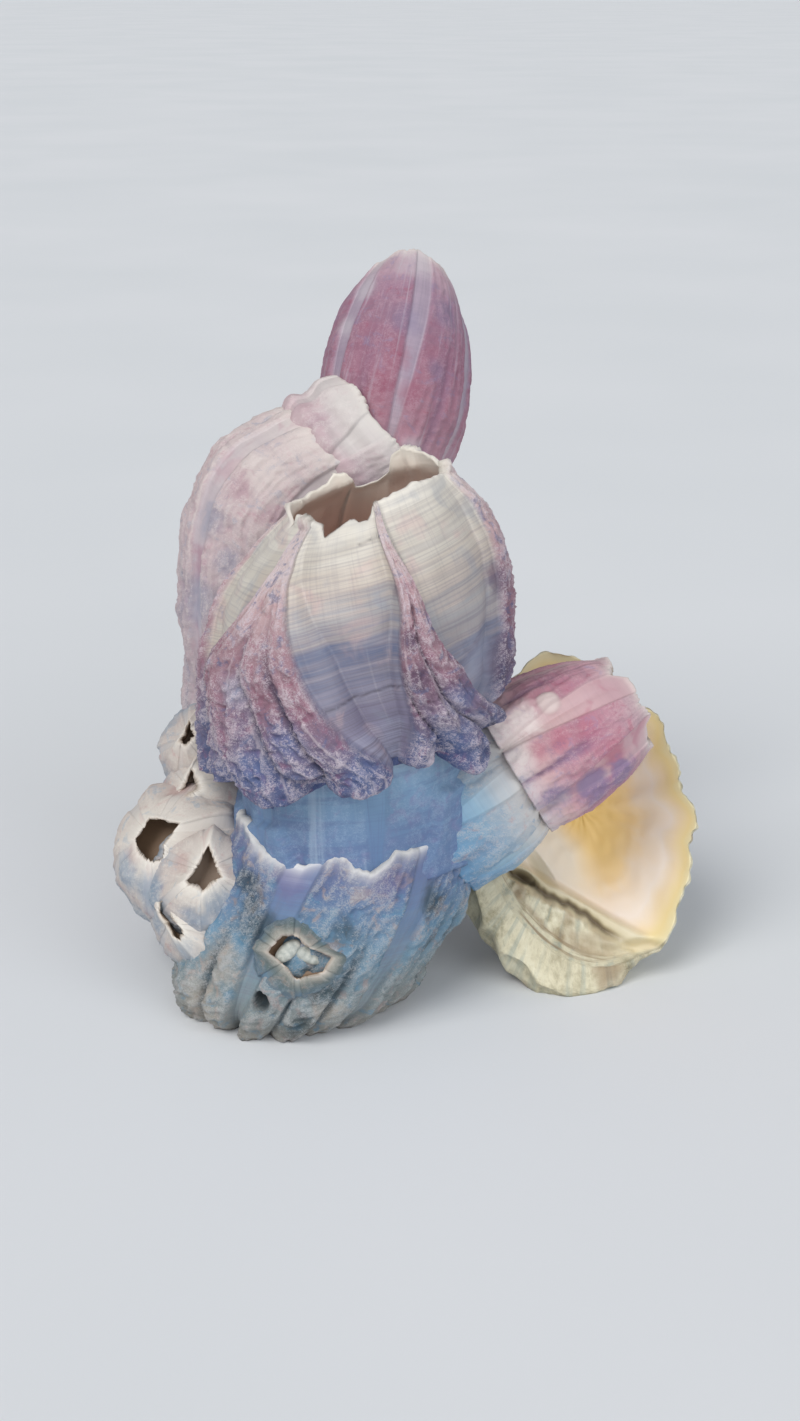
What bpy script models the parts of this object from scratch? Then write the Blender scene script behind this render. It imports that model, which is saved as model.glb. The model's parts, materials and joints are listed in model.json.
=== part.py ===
"""A cluster of giant barnacles grown on one another, with a jewel-box shell valve cemented at its foot.

Each barnacle is a six-plated wall around a mouth. Rough ribbed plates, the parietes, widen
downwards, and smooth sectors, the radii, widen upwards between them. The walls are lofts between
unlike sections, so their faces are built ring by ring; the pits and the trimmed joints are Booleans.

Lengths below are millimetres and angles degrees. Angle 0 on a barnacle looks to the front, -Y, and
grows towards its right, +X. Height 0 on a wall is its foot and height 1 its mouth.
"""

import math

import bmesh
import bpy
import numpy as np
from mathutils import Vector

MM = 0.001
GAP = 0.45
SLIVER = 0.015
LEAN = 17.5
LEDGE = 1.2

WHITE = (0.80, 0.76, 0.72)
LAVENDER = (0.52, 0.52, 0.68)
PURPLE = (0.42, 0.24, 0.36)
PINK = (0.62, 0.30, 0.36)
BLUSH = (0.74, 0.62, 0.64)
CREAM = (0.78, 0.62, 0.38)
GREY = (0.42, 0.45, 0.46)


def hashed(i, j, k, seed):
    """A repeatable number from -1 to 1 for each cell of a lattice."""
    n = i * 374761393 + j * 668265263 + k * 1274126177 + seed * 974711
    n = (n ^ (n >> 13)) * 1103515245
    n = n ^ (n >> 16)
    return (n & 0xFFFF) / 32767.5 - 1.0


def noise(points, cell, seed=0):
    """Smooth noise from -1 to 1 with bumps about one cell apart."""
    p = np.asarray(points, float) / cell
    corner = np.floor(p).astype(np.int64)
    f = p - corner
    f = f * f * (3 - 2 * f)
    total = np.zeros(p.shape[:-1])
    for a in (0, 1):
        for b in (0, 1):
            for c in (0, 1):
                share = (
                    (f[..., 0] if a else 1 - f[..., 0])
                    * (f[..., 1] if b else 1 - f[..., 1])
                    * (f[..., 2] if c else 1 - f[..., 2])
                )
                cells = corner + np.array((a, b, c))
                total += share * hashed(cells[..., 0], cells[..., 1], cells[..., 2], seed)
    return total


def unit(v):
    v = np.asarray(v, float)
    return v / np.linalg.norm(v)


def turn(angle):
    """An angle brought to -180..180 degrees."""
    return (angle + 180.0) % 360.0 - 180.0


def bump(x):
    """1 in the middle, 0 from -1 outwards and from 1 outwards."""
    return np.maximum(0.0, 1.0 - x * x) ** 0.75


def step(x):
    x = np.clip(x, 0.0, 1.0)
    return x * x * (3 - 2 * x)


def through(stops, x):
    """A smooth curve through (place, value) stops."""
    place, value = np.array(stops, float).T
    x = np.clip(x, place[0], place[-1])
    i = np.clip(np.searchsorted(place, x) - 1, 0, len(place) - 2)
    slope = np.gradient(value, place)
    span = place[i + 1] - place[i]
    u = (x - place[i]) / span
    a = value[i] * (2 * u**3 - 3 * u**2 + 1) + value[i + 1] * (3 * u**2 - 2 * u**3)
    return a + span * (slope[i] * (u**3 - 2 * u**2 + u) + slope[i + 1] * (u**3 - u**2))


def around(stops, angle):
    """A broken edge: straight lines through (angle, value) stops that close on themselves."""
    place, value = np.array(sorted(stops), float).T
    return np.interp(angle, place, value, period=360.0)


class Lobe:
    """One rounded rib of a plate: its place across the plate (-1 to 1), half width, reach and hang."""

    def __init__(self, place, width, reach, hang=0.0):
        self.place, self.width, self.reach, self.hang = place, width, reach, hang


def rise(height):
    """How far the plates' edges have moved from their angles at the foot to those at the mouth."""
    return 1 - (1 - np.clip(height, 0, 1)) ** 1.15


class Plate:
    """One paries: the angle of its middle at the mouth and at the foot, its half widths, its ribs."""

    def __init__(self, top, foot, half_top, half_foot, lobes, thick=0.9):
        self.top, self.foot, self.half_top, self.half_foot = top, foot, half_top, half_foot
        self.lobes, self.thick = lobes, thick

    def across(self, angle, height):
        middle = self.foot + (self.top - self.foot) * rise(height)
        half = self.half_foot + (self.half_top - self.half_foot) * rise(height)
        return turn(angle - middle) / half

    def relief(self, angle, height):
        d = self.across(angle, height)
        low = 1 - np.clip(height, 0, 1)
        edge = self.thick * (0.35 + 0.65 * low**0.6) * step((1 - np.abs(d)) / 0.13)
        ribs = [lobe.reach * bump((d - lobe.place) / lobe.width) for lobe in self.lobes]
        return edge + low**0.8 * np.max(ribs, axis=0)

    def hang(self, angle):
        d = self.across(angle, 0.0)
        return sum(lobe.hang * bump((d - lobe.place) / lobe.width) for lobe in self.lobes)


def even_plates(turned, reach, twist=0.0, lobes=2, half_top=7.0, thick=0.6):
    """Six like plates, each with a few ribs, for the barnacles that the front one hides in part."""
    plates = []
    for n in range(6):
        middle = turned + 60.0 * n
        ribs = [
            Lobe(-1 + (2 * k + 1) / lobes, 1.1 / lobes, reach * (1.0 - 0.25 * ((n + k) % 3)))
            for k in range(lobes)
        ]
        plates.append(Plate(middle, middle + twist, half_top, 29.0, ribs, thick))
    return plates


def broken_rim(teeth, height, seed):
    """Stops of a chipped mouth edge, with teeth of uneven height."""
    rng = np.random.default_rng(seed)
    angles = (np.arange(teeth) + 0.35 * rng.uniform(-1, 1, teeth)) * 360.0 / teeth - 180.0
    return list(zip(angles, height * rng.uniform(-1, 1, teeth)))


class Barnacle:
    """A hollow plated wall from a foot point to a mouth point."""

    def __init__(self, name, foot, mouth, girth, plates, rim, wall, depth, **more):
        self.name, self.girth, self.plates, self.rim, self.wall = name, girth, plates, rim, wall
        self.foot, self.mouth = np.array(foot, float), np.array(mouth, float)
        self.length = np.linalg.norm(self.mouth - self.foot)
        self.depth = depth
        axis = unit(self.mouth - self.foot)
        self.foot_normal = unit(more.get("foot_normal", axis))
        self.mouth_normal = unit(more.get("mouth_normal", axis))
        self.face = unit(more.get("face", (0, -1, 0)))
        self.bow = np.array(more.get("bow", (0, 0, 0)), float)
        self.oval = more.get("oval", 0.0)
        self.rough, self.grain = more.get("rough", 0.35), more.get("grain", 5.0)
        self.rows, self.inner_rows = more.get("rows", 7), more.get("inner_rows", 1)
        self.open_room = more.get("open_room", False)
        self.ledge = more.get("ledge")
        self.undercut = more.get("undercut")
        self.seed = more.get("seed", 1)
        self.set_columns(*more.get("columns", (4, 2)))

    def set_columns(self, on_plate, on_radius):
        """The foot angle and the mouth angle of each column of points, which follow the plates' edges."""
        foot, top = [], []
        for n, plate in enumerate(self.plates):
            after = self.plates[(n + 1) % len(self.plates)]
            whole = 360.0 if n == len(self.plates) - 1 else 0.0
            share = np.linspace(0, 1, on_radius, endpoint=False)
            count = max(3, round(on_plate * plate.half_foot / 30.0))
            across = np.concatenate([[-1.0], np.linspace(-0.86, 0.86, count)])
            for made, middle, half, following in (
                (foot, plate.foot, plate.half_foot, after.foot - after.half_foot + whole),
                (top, plate.top, plate.half_top, after.top - after.half_top + whole),
            ):
                made.append(middle + half * across)
                made.append(middle + half + (following - middle - half) * share)
        self.foot_angles, self.top_angles = np.concatenate(foot), np.concatenate(top)

    def angles(self, height):
        return self.foot_angles + (self.top_angles - self.foot_angles) * rise(height)

    def place(self, height, angle, radius):
        """World points at these heights, angles and radii."""
        height, angle, radius = np.broadcast_arrays(height, angle, radius)
        h = np.clip(height, 0, 1)[..., None]
        normal = self.foot_normal * (1 - h) + self.mouth_normal * h
        normal /= np.linalg.norm(normal, axis=-1, keepdims=True)
        front = self.face - normal * (normal @ self.face)[..., None]
        front /= np.linalg.norm(front, axis=-1, keepdims=True)
        side = np.cross(normal, front)
        centre = self.foot + (self.mouth - self.foot) * h + self.bow * 9.48 * h**3 * (1 - h)
        centre = centre + normal * ((height[..., None] - h) * self.length)
        a = np.radians(angle)[..., None]
        return centre + radius[..., None] * (np.cos(a) * front + np.sin(a) * side)

    def girth_at(self, height, angle):
        squeeze = 1 + self.oval * np.cos(np.radians(2 * angle))
        return through(self.girth, height) * squeeze

    def outer(self, height, angle, swell=0.0):
        radius = self.girth_at(height, angle)
        radius = radius + sum(plate.relief(angle, height) for plate in self.plates)
        if self.ledge:
            edge = around(self.ledge, angle) / self.length
            radius = radius + LEDGE * step((edge - height) * self.length / 1.2)
        where = self.place(height, angle, radius)
        radius = radius + self.rough * noise(where, self.grain, self.seed) + swell
        return self.place(height, angle, radius)

    def rings(self, swell=0.0, filled=False):
        """Rings from the middle of the underside, up the outside, over the rim and down into the cup."""
        low = -(sum(plate.hang(self.foot_angles) for plate in self.plates) + swell) / self.length
        high = 1.0 + (around(self.rim, self.top_angles) + swell) / self.length
        floor = 1.0 - self.depth + swell / self.length
        under = low.mean()
        made = []
        if self.undercut:
            radius, lift = self.undercut
            under = 0.0
            made.append(self.place(lift / self.length, self.foot_angles, radius))
        made.insert(0, self.place(np.full(1, under), np.zeros(1), np.zeros(1)))
        for s in np.linspace(0, 1, self.rows):
            height = low + (high - low) * s
            made.append(self.outer(height, self.angles(height), swell))
        if filled:
            made.append(self.place(np.full(1, high.max()), np.zeros(1), np.zeros(1)))
            return made
        for s in np.linspace(0, 1, self.inner_rows + 1):
            height = high + (floor - high) * s
            thick = self.wall * (1 + 1.2 * s) + swell
            inside = np.maximum(self.girth_at(height, self.top_angles) - thick, 0.6)
            made.append(self.place(height, self.top_angles, inside * (1 - 0.25 * (s == 1.0))))
        made.append(self.place(np.full(1, floor), np.zeros(1), np.zeros(1)))
        return made


class Valve:
    """A deep jewel-box valve seen into its bowl: a frilled oval margin, a hinge shelf and a swollen umbo.

    Its angles run round the bowl's middle. Angle 0 is the far end of the margin.
    """

    HALF_LENGTH, HALF_WIDTH = 24.0, 15.8
    BOWL, BACK = 9.0, 15.0
    HINGE, SHELF = -132.0, 6.5
    UMBO_SHARE = [(0, 0), (0.3, 0.42), (0.52, 0.8), (0.7, 1.16), (0.84, 1.42), (0.94, 1.34), (1, 1.12)]
    UMBO_OUT = [(0, -15), (0.3, -14), (0.52, -12), (0.7, -7), (0.84, 0.5), (0.94, 4.4), (1, 3.2)]
    SEGMENTS = 42

    def __init__(self, name, middle, up, facing):
        self.name, self.open_room = name, True
        self.middle, self.up = np.array(middle, float), unit(up)
        facing = np.array(facing, float)
        self.facing = unit(facing - self.up * (facing @ self.up))
        self.right = np.cross(self.up, self.facing)

    def world(self, angle, radius, out):
        angle, radius, out = np.broadcast_arrays(np.radians(angle), radius, out)
        along, across = radius * np.cos(angle), radius * np.sin(angle)
        return (
            self.middle
            + along[..., None] * self.up
            + across[..., None] * self.right
            + out[..., None] * self.facing
        )

    def margin(self, angle):
        """The margin's distance from the bowl's middle."""
        a = np.radians(angle)
        oval = 1 / np.hypot(np.cos(a) / self.HALF_LENGTH, np.sin(a) / self.HALF_WIDTH)
        frill = 0.55 * np.sin(7 * a) + 0.45 * np.sin(13 * a + 1.0)
        return oval + frill * step((np.abs(turn(angle - self.HINGE)) - 40) / 20)

    def rings(self, swell=0.0, filled=False):
        angle = np.linspace(-180.0, 180.0, self.SEGMENTS, endpoint=False)
        reach = self.margin(angle)
        from_hinge = np.abs(turn(angle - self.HINGE))
        swollen = step((68 - from_hinge) / 52)
        made = [self.world(np.zeros(1), np.full(1, 4.0), np.full(1, -self.BACK - swell))]
        for s in (0.3, 0.52, 0.7, 0.84, 0.94, 1.0):
            share = s + (through(self.UMBO_SHARE, s) - s) * swollen
            plain = -self.BACK * (1 - s**2.6) ** 0.7
            out = plain + (through(self.UMBO_OUT, s) - plain) * swollen - swell * (1 - s)
            made.append(self.world(angle, reach * share + 0.5 * math.sin(s * 40) * (s < 1) + swell, out))
        if filled:
            made.append(self.world(np.zeros(1), np.zeros(1), np.zeros(1)))
            return made
        to_hinge = np.radians(turn(angle - self.HINGE))
        chord = self.margin(np.array(self.HINGE)) - self.SHELF
        for s in (0.97, 0.88, 0.74, 0.52, 0.28):
            shelf = step((reach * s * np.cos(to_hinge) - chord) / 1.6)
            level = -2.6 if s > 0.95 else -0.6
            out = -self.BOWL * (1 - s**2.4) * (1 - shelf) + level * shelf
            made.append(self.world(angle, reach * s, out))
        made.append(self.world(np.zeros(1), np.zeros(1), np.full(1, -self.BOWL)))
        return made


def loft(name, rings, collection):
    """A closed mesh through rings of points. The first and last rings are single points."""
    mesh = bmesh.new()
    rows = [[mesh.verts.new(Vector(p) * MM) for p in ring] for ring in rings]
    for low, high in zip(rows, rows[1:]):
        count = max(len(low), len(high))
        for i in range(count):
            j = (i + 1) % count
            corners = [low[i % len(low)], low[j % len(low)], high[j % len(high)], high[i % len(high)]]
            mesh.faces.new(dict.fromkeys(corners))
    bmesh.ops.recalc_face_normals(mesh, faces=mesh.faces)
    data = bpy.data.meshes.new(name)
    mesh.to_mesh(data)
    mesh.free()
    made = bpy.data.objects.new(name, data)
    collection.objects.link(made)
    data.shade_smooth()
    return made


def paint(thing, colour, roughness):
    material = bpy.data.materials.new(thing.name)
    material.use_nodes = True
    shader = material.node_tree.nodes["Principled BSDF"]
    shader.inputs["Base Color"].default_value = (*colour, 1)
    shader.inputs["Roughness"].default_value = roughness
    thing.data.materials.append(material)


def cut(thing, cutter):
    modifier = thing.modifiers.new("cut_" + cutter.name, "BOOLEAN")
    modifier.operation = "DIFFERENCE"
    modifier.solver = "MANIFOLD"
    modifier.object = cutter


def thin_out(thing, share):
    """Merges the facets that matter least to the shape until this share of them is left."""
    modifier = thing.modifiers.new("thin_out", "DECIMATE")
    modifier.ratio = share
    modifier.use_collapse_triangulate = True


def boxes_meet(one, other):
    """Whether the boxes round two meshes overlap."""
    a, b = (np.array([v.co for v in thing.data.vertices]) for thing in (one, other))
    return bool((a.min(axis=0) < b.max(axis=0)).all() and (b.min(axis=0) < a.max(axis=0)).all())


def whole_body(mesh):
    """The vertices of a mesh's largest connected body."""
    left, largest = set(mesh.verts), []
    while left:
        body, edge = [], [left.pop()]
        while edge:
            vertex = edge.pop()
            body.append(vertex)
            near = [e.other_vert(vertex) for e in vertex.link_edges]
            fresh = [v for v in near if v in left]
            left.difference_update(fresh)
            edge.extend(fresh)
        largest = max(largest, body, key=len)
    return largest


def settle(thing):
    """Applies the cuts and drops the crumbs that they leave loose."""
    graph = bpy.context.evaluated_depsgraph_get()
    data = bpy.data.meshes.new_from_object(thing.evaluated_get(graph))
    mesh = bmesh.new()
    mesh.from_mesh(data)
    kept = set(whole_body(mesh))
    bmesh.ops.delete(mesh, geom=[v for v in mesh.verts if v not in kept], context="VERTS")
    bmesh.ops.triangulate(mesh, faces=mesh.faces)
    bmesh.ops.dissolve_degenerate(mesh, dist=SLIVER * MM, edges=mesh.edges)
    mesh.to_mesh(data)
    mesh.free()
    thing.modifiers.clear()
    thing.data = data


def as_cutter(thing):
    thing.hide_render = True
    thing.display_type = "WIRE"
    return thing


def ground_cutter(collection):
    """A slab whose top is the resting plane."""
    bpy.ops.mesh.primitive_cube_add(size=1)
    slab = bpy.context.object
    slab.name = "ground"
    slab.scale = (0.3, 0.3, 0.02)
    slab.location = (0, 0, -0.01)
    for old in slab.users_collection:
        old.objects.unlink(slab)
    collection.objects.link(slab)
    return as_cutter(slab)


def pit_cutter(name, mouth, inward, radius, depth, collection):
    """A round pit sunk into a wall: a cone that narrows inwards."""
    bpy.ops.mesh.primitive_cone_add(
        vertices=12, radius1=radius * MM, radius2=radius * 0.55 * MM, depth=2 * depth * MM
    )
    pit = bpy.context.object
    pit.name = name
    pit.rotation_mode = "QUATERNION"
    pit.rotation_quaternion = Vector(inward).to_track_quat("Z", "Y")
    pit.location = Vector(mouth) * MM
    for old in pit.users_collection:
        old.objects.unlink(pit)
    collection.objects.link(pit)
    return as_cutter(pit)


def tilted(side, back=0.0):
    """A section's normal: tipped to the left by one angle and to the back by another."""
    s, b = math.radians(side), math.radians(back)
    return (-math.sin(s), math.sin(b), math.cos(s))


def front_barnacle():
    plates = [
        Plate(-112, -100, 8, 29, [Lobe(-0.45, 0.5, 3.4, 2.0), Lobe(0.45, 0.5, 3.6, 3.0)], 1.6),
        Plate(-57, -29, 6, 41, [
            Lobe(-0.72, 0.3, 2.6, 1.5), Lobe(-0.26, 0.27, 4.4, 2.0), Lobe(0.18, 0.24, 4.0, 2.8),
            Lobe(0.66, 0.34, 4.6, 1.8),
        ], 1.7),
        Plate(14, 45, 6, 26, [
            Lobe(-0.64, 0.36, 3.6, 1.8), Lobe(-0.08, 0.28, 4.2, 2.8), Lobe(0.54, 0.38, 5.0, 5.6),
        ], 1.7),
        Plate(84, 100, 8, 28, [Lobe(-0.5, 0.5, 2.8, -3.0), Lobe(0.5, 0.45, 2.6, -2.0)], 1.2),
        Plate(142, 155, 7, 26, [Lobe(-0.4, 0.55, 2.6, 1.2), Lobe(0.45, 0.55, 3.2, 2.2)], 1.4),
        Plate(198, 206, 7, 24, [Lobe(-0.45, 0.55, 3.0, 1.6), Lobe(0.45, 0.5, 2.6, 0.8)], 1.4),
    ]
    rim = [
        (-100, 1.6), (-84, 1.2), (-72, -0.6), (-58, 1.6), (-48, 1.4), (-36, 0.2), (-26, -1.4), (-12, -0.2),
        (2, -1.0), (8, 1.4), (24, 1.6), (42, 1.6), (62, 0.8), (78, 0.2), (90, 1.6), (104, 0.2), (122, 1.6),
        (146, 3.0), (158, 2.2), (164, -0.4), (172, -1.4), (180, -1.6), (-172, -1.2), (-164, 1.6), (-156, 2.0),
        (-142, 1.0), (-124, 0.8), (-110, 1.2),
    ]
    return Barnacle(
        "front_barnacle", (0.7, 0, 42.0), (2.7, 0, 76.7),
        [(0, 17.8), (0.2, 19.2), (0.39, 20.0), (0.58, 19.9), (0.74, 18.4), (0.88, 15.4), (1, 11.8)],
        plates, rim, 1.1, 0.62, foot_normal=tilted(9.0), mouth_normal=tilted(LEAN), bow=(-0.9, 0, 0),
        columns=(8, 4), rows=13, inner_rows=3, rough=0.4, grain=3.5, seed=3, undercut=(15.0, 1.5),
    )  # fmt: skip


def stalk_barnacle():
    outer_layer = [
        (-180, 12), (-95, 9), (-70, 6.5), (-52, 8.5), (-38, 9.5), (-28, 3), (-10, 0), (20, 0), (36, 4),
        (44, 12),
    ]
    return Barnacle(
        "stalk_barnacle", (1.2, 0.5, 24), (0.9, 0, 42.6),
        [(0, 16.4), (0.4, 16.6), (0.8, 16.6), (1, 16.8)],
        even_plates(-20, 0.5, half_top=20, thick=0.3), [(-180, 0), (0, 0)], 4.0, 0.1,
        mouth_normal=tilted(9.0), ledge=outer_layer, columns=(4, 2), rows=7, rough=0.25, seed=4,
    )  # fmt: skip


def base_barnacle():
    rim = [
        (-160, 1.0), (-110, 1.5), (-75, 2.0), (-60, 2.2), (-48, 0.2), (-38, -1.2), (-22, -1.8), (-12, 0.2),
        (-4, 0.6), (2, -1.6), (10, -1.8), (18, 0.8), (34, 1.0), (60, 0.0), (90, 0.0), (130, 0.5), (165, 1.5),
    ]
    return Barnacle(
        "base_barnacle", (-10.0, -3.0, 0), (1.0, 1.0, 28.0),
        [(0, 13.0), (0.08, 15.4), (0.25, 17.2), (0.5, 18.2), (0.75, 18.4), (1, 18.2)],
        even_plates(8, 2.6, lobes=3, twist=-6, half_top=22, thick=0.8), rim, 0.9, 0.12,
        foot_normal=(0, 0, 1), mouth_normal=(0, 0, 1), columns=(7, 2), rows=9, rough=1.5, grain=7.0,
        seed=11, open_room=True,
    )  # fmt: skip


def rear_barnacle():
    return Barnacle(
        "rear_barnacle", (-11, 25, 0), (-2.5, 38.0, 72.0),
        [(0, 11.6), (0.2, 13.6), (0.45, 14.8), (0.75, 14.6), (0.9, 13.2), (1, 11.8)],
        even_plates(-30, 2.0, twist=10, half_top=13, thick=0.7), broken_rim(20, 0.9, 8), 1.6, 0.07,
        foot_normal=(0, 0, 1), mouth_normal=(0.78, 0.22, 0.58), bow=(-9.5, 0, 3.0), columns=(5, 2),
        rows=10, rough=0.7, seed=17, open_room=True,
    )  # fmt: skip


def collar_barnacle():
    axis = unit((0.78, 0.22, 0.58))
    mouth = np.array((4.0, 40.2, 77.2))
    return Barnacle(
        "collar_barnacle", mouth - 11.0 * axis, mouth,
        [(0, 10.4), (0.3, 12.0), (0.42, 11.2), (0.75, 11.8), (1, 11.0)],
        even_plates(10, 0.8, half_top=18, thick=0.4), broken_rim(18, 0.7, 4), 1.2, 0.2,
        face=(-0.55, -0.6, 0.55), columns=(4, 2), rows=6, rough=0.3, seed=23, open_room=True,
    )  # fmt: skip


def top_barnacle():
    return Barnacle(
        "top_barnacle", (5.0, 42.0, 72.0), (8.8, 53.0, 99.4),
        [(0, 9.2), (0.22, 11.2), (0.45, 11.4), (0.68, 10.3), (0.86, 8.4), (1, 5.9)],
        even_plates(25, 0.9, twist=-18, half_top=12, thick=0.5), broken_rim(16, 0.9, 6), 0.9, 0.7,
        foot_normal=(0.25, 0.15, 1), mouth_normal=(0.1, 0.8, 0.6), columns=(5, 2), rows=9, inner_rows=2,
        rough=0.25, seed=29,
    )  # fmt: skip


def side_root_barnacle():
    return Barnacle(
        "side_root_barnacle", (11.5, 1.0, 26.5), (24.5, 3.0, 35.0),
        [(0, 11.0), (0.5, 11.8), (0.85, 11.2), (1, 10.2)],
        even_plates(20, 0.9, half_top=20, thick=0.4), broken_rim(18, 0.9, 9), 1.2, 0.2,
        mouth_normal=(0.85, 0.12, 0.5), columns=(4, 1), rows=5, rough=0.5, seed=31, open_room=True,
    )  # fmt: skip


def side_barnacle():
    return Barnacle(
        "side_barnacle", (24.0, 3.0, 34.6), (40.6, 8.0, 42.4),
        [(0, 9.8), (0.25, 10.2), (0.55, 9.9), (0.8, 9.1), (1, 7.8)],
        even_plates(-12, 1.5, twist=8, half_top=11, thick=0.8), broken_rim(18, 1.0, 12), 1.1, 0.68,
        foot_normal=(0.85, 0.12, 0.5), mouth_normal=(0.86, 0.34, 0.38), columns=(5, 2), rows=8,
        inner_rows=2, rough=0.35, seed=37,
    )  # fmt: skip


def small_barnacle(name, mouth, axis, length, foot_radius, mouth_radius, seed, **more):
    """A low white cone with a kite-shaped mouth."""
    axis, mouth = unit(axis), np.array(mouth, float)
    oval = more.pop("oval", 0.18)
    shoulder = mouth_radius + 0.62 * (foot_radius - mouth_radius)
    return Barnacle(
        name, mouth - length * axis, mouth,
        [(0, foot_radius), (0.4, foot_radius * 0.95), (0.75, shoulder), (1, mouth_radius + 0.6)],
        even_plates(15 * seed, 0.7, lobes=1, half_top=14, thick=0.4), broken_rim(6, 0.5, seed), 0.7, 0.6,
        oval=oval, columns=(3, 1), rows=5, rough=0.5, grain=4.0, seed=seed, **more,
    )  # fmt: skip


def small_barnacles():
    down = dict(face=(0, -0.6, -0.8))
    aslant = dict(face=(0.5, -0.4, -0.7), oval=-0.3)
    wide = dict(face=(0, -0.4, -0.9), oval=-0.16)
    return [
        small_barnacle(
            "small_barnacle_left", (-28.9, -4.0, 25.8), (-0.42, -0.66, 0.6), 12.5, 11.0, 2.7, 1, **down
        ),
        small_barnacle(
            "small_barnacle_middle", (-20.8, -12.0, 24.0), (0.0, -0.8, 0.6), 10.0, 9.0, 2.8, 2, **down
        ),
        small_barnacle(
            "small_barnacle_low", (-25.8, -11.0, 16.2), (-0.5, -0.78, 0.2), 9.0, 7.8, 2.3, 3, **aslant
        ),
        small_barnacle(
            "small_barnacle_high", (-24.6, 7, 37.8), (-0.4, -0.7, 0.6), 9.0, 7.2, 2.5, 4, **down
        ),
        small_barnacle(
            "small_barnacle_rear", (-24.2, 2, 31.6), (-0.35, -0.75, 0.55), 9.0, 7.0, 2.0, 5, **down
        ),
        small_barnacle(
            "small_barnacle_front", (-7.2, -22.8, 15.8), (-0.05, -0.9, 0.42), 8.0, 6.8, 3.1, 6, **wide
        ),
    ]


def operculum(name, middle, facing, along, size, collection):
    """One grey valve of the lid inside a small mouth: a flattened ball."""
    bpy.ops.mesh.primitive_uv_sphere_add(segments=8, ring_count=5, radius=1.0)
    lid = bpy.context.object
    lid.name = name
    facing = unit(facing)
    along = unit(np.array(along, float) - facing * (np.array(along, float) @ facing))
    across = np.cross(facing, along)
    for vertex in lid.data.vertices:
        x, y, z = vertex.co
        point = np.array(middle) + size[0] * x * along + size[1] * y * across + size[2] * z * facing
        vertex.co = Vector(point) * MM
    for old in lid.users_collection:
        old.objects.unlink(lid)
    collection.objects.link(lid)
    lid.data.shade_smooth()
    return lid


# Each piece is cut back beside those that come before it here, which leaves the gap between them.
ORDER = [
    "small_barnacle_front", "small_barnacle_low", "base_barnacle", "stalk_barnacle", "front_barnacle",
    "rear_barnacle", "collar_barnacle", "top_barnacle", "side_root_barnacle", "side_barnacle",
    "jewel_box_valve", "small_barnacle_middle", "small_barnacle_left", "small_barnacle_rear",
    "small_barnacle_high",
]  # fmt: skip

FACETS_KEPT = {
    "front_barnacle": 0.6, "jewel_box_valve": 0.75, "small_barnacle_front": 0.75, "base_barnacle": 0.5,
    "stalk_barnacle": 0.4, "rear_barnacle": 0.45, "collar_barnacle": 0.36, "top_barnacle": 0.42,
    "side_barnacle": 0.42, "side_root_barnacle": 0.4,
}  # fmt: skip

PITS = [
    ("worm_hole", (-12.5, -20.5, 7.4), (0.05, 1, 0.1), 1.1, 4.0),
    ("front_pit", (0.0, -21.5, 20.2), (0, 1, 0), 2.0, 4.0),
]

LIDS = [
    ("operculum_front_left", (-8.7, -20.9, 15.4), (-0.25, -0.9, 0.4), (0.2, -0.3, -0.9), (1.9, 1.1, 0.7)),
    ("operculum_front_right", (-5.9, -20.9, 15.2), (0.25, -0.9, 0.4), (-0.2, -0.3, -0.9), (1.9, 1.1, 0.7)),
    ("operculum_low", (-24.7, -9.4, 15.9), (-0.62, -0.72, 0.1), (0.5, -0.4, -0.7), (1.4, 0.6, 0.5)),
]

COLOURS = {
    "front_barnacle": (PURPLE, 0.7),
    "stalk_barnacle": (LAVENDER, 0.5),
    "base_barnacle": (LAVENDER, 0.75),
    "rear_barnacle": (BLUSH, 0.7),
    "collar_barnacle": (BLUSH, 0.6),
    "top_barnacle": (PINK, 0.55),
    "side_root_barnacle": (WHITE, 0.6),
    "side_barnacle": (PINK, 0.6),
    "jewel_box_valve": (CREAM, 0.55),
}


def clear_scene():
    for thing in list(bpy.data.objects):
        bpy.data.objects.remove(thing)


def main():
    clear_scene()
    cluster = bpy.data.collections.new("barnacle_cluster")
    cutters = bpy.data.collections.new("cutters")
    for collection in (cluster, cutters):
        bpy.context.scene.collection.children.link(collection)

    shells = [
        base_barnacle(), stalk_barnacle(), front_barnacle(), rear_barnacle(), collar_barnacle(),
        top_barnacle(), side_root_barnacle(), side_barnacle(), *small_barnacles(),
        Valve("jewel_box_valve", (35.7, 11.8, 24.6), (-0.3, 0.47, 0.84), (-0.05, -0.88, 0.47)),
    ]  # fmt: skip
    made = {shell.name: loft(shell.name, shell.rings(), cluster) for shell in shells}
    for name, mouth, inward, radius, depth in PITS:
        cut(made["base_barnacle"], pit_cutter(name, mouth, inward, radius, depth, cutters))

    rooms = {}
    for shape in shells:
        room = loft(shape.name + "_room", shape.rings(GAP, not shape.open_room), cutters)
        rooms[shape.name] = as_cutter(room)
    for n, name in enumerate(ORDER):
        for before in ORDER[:n]:
            if boxes_meet(made[name], rooms[before]):
                cut(made[name], rooms[before])
    bpy.context.view_layer.update()
    for name, thing in made.items():
        settle(thing)
        thin_out(thing, FACETS_KEPT.get(name, 0.5))
        paint(thing, *COLOURS.get(name, (WHITE, 0.6)))
    ground = ground_cutter(cutters)
    for name in ("base_barnacle", "rear_barnacle", "jewel_box_valve"):
        cut(made[name], ground)
    for name, middle, facing, along, size in LIDS:
        paint(operculum(name, middle, facing, along, size, cluster), GREY, 0.45)


main()
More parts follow.
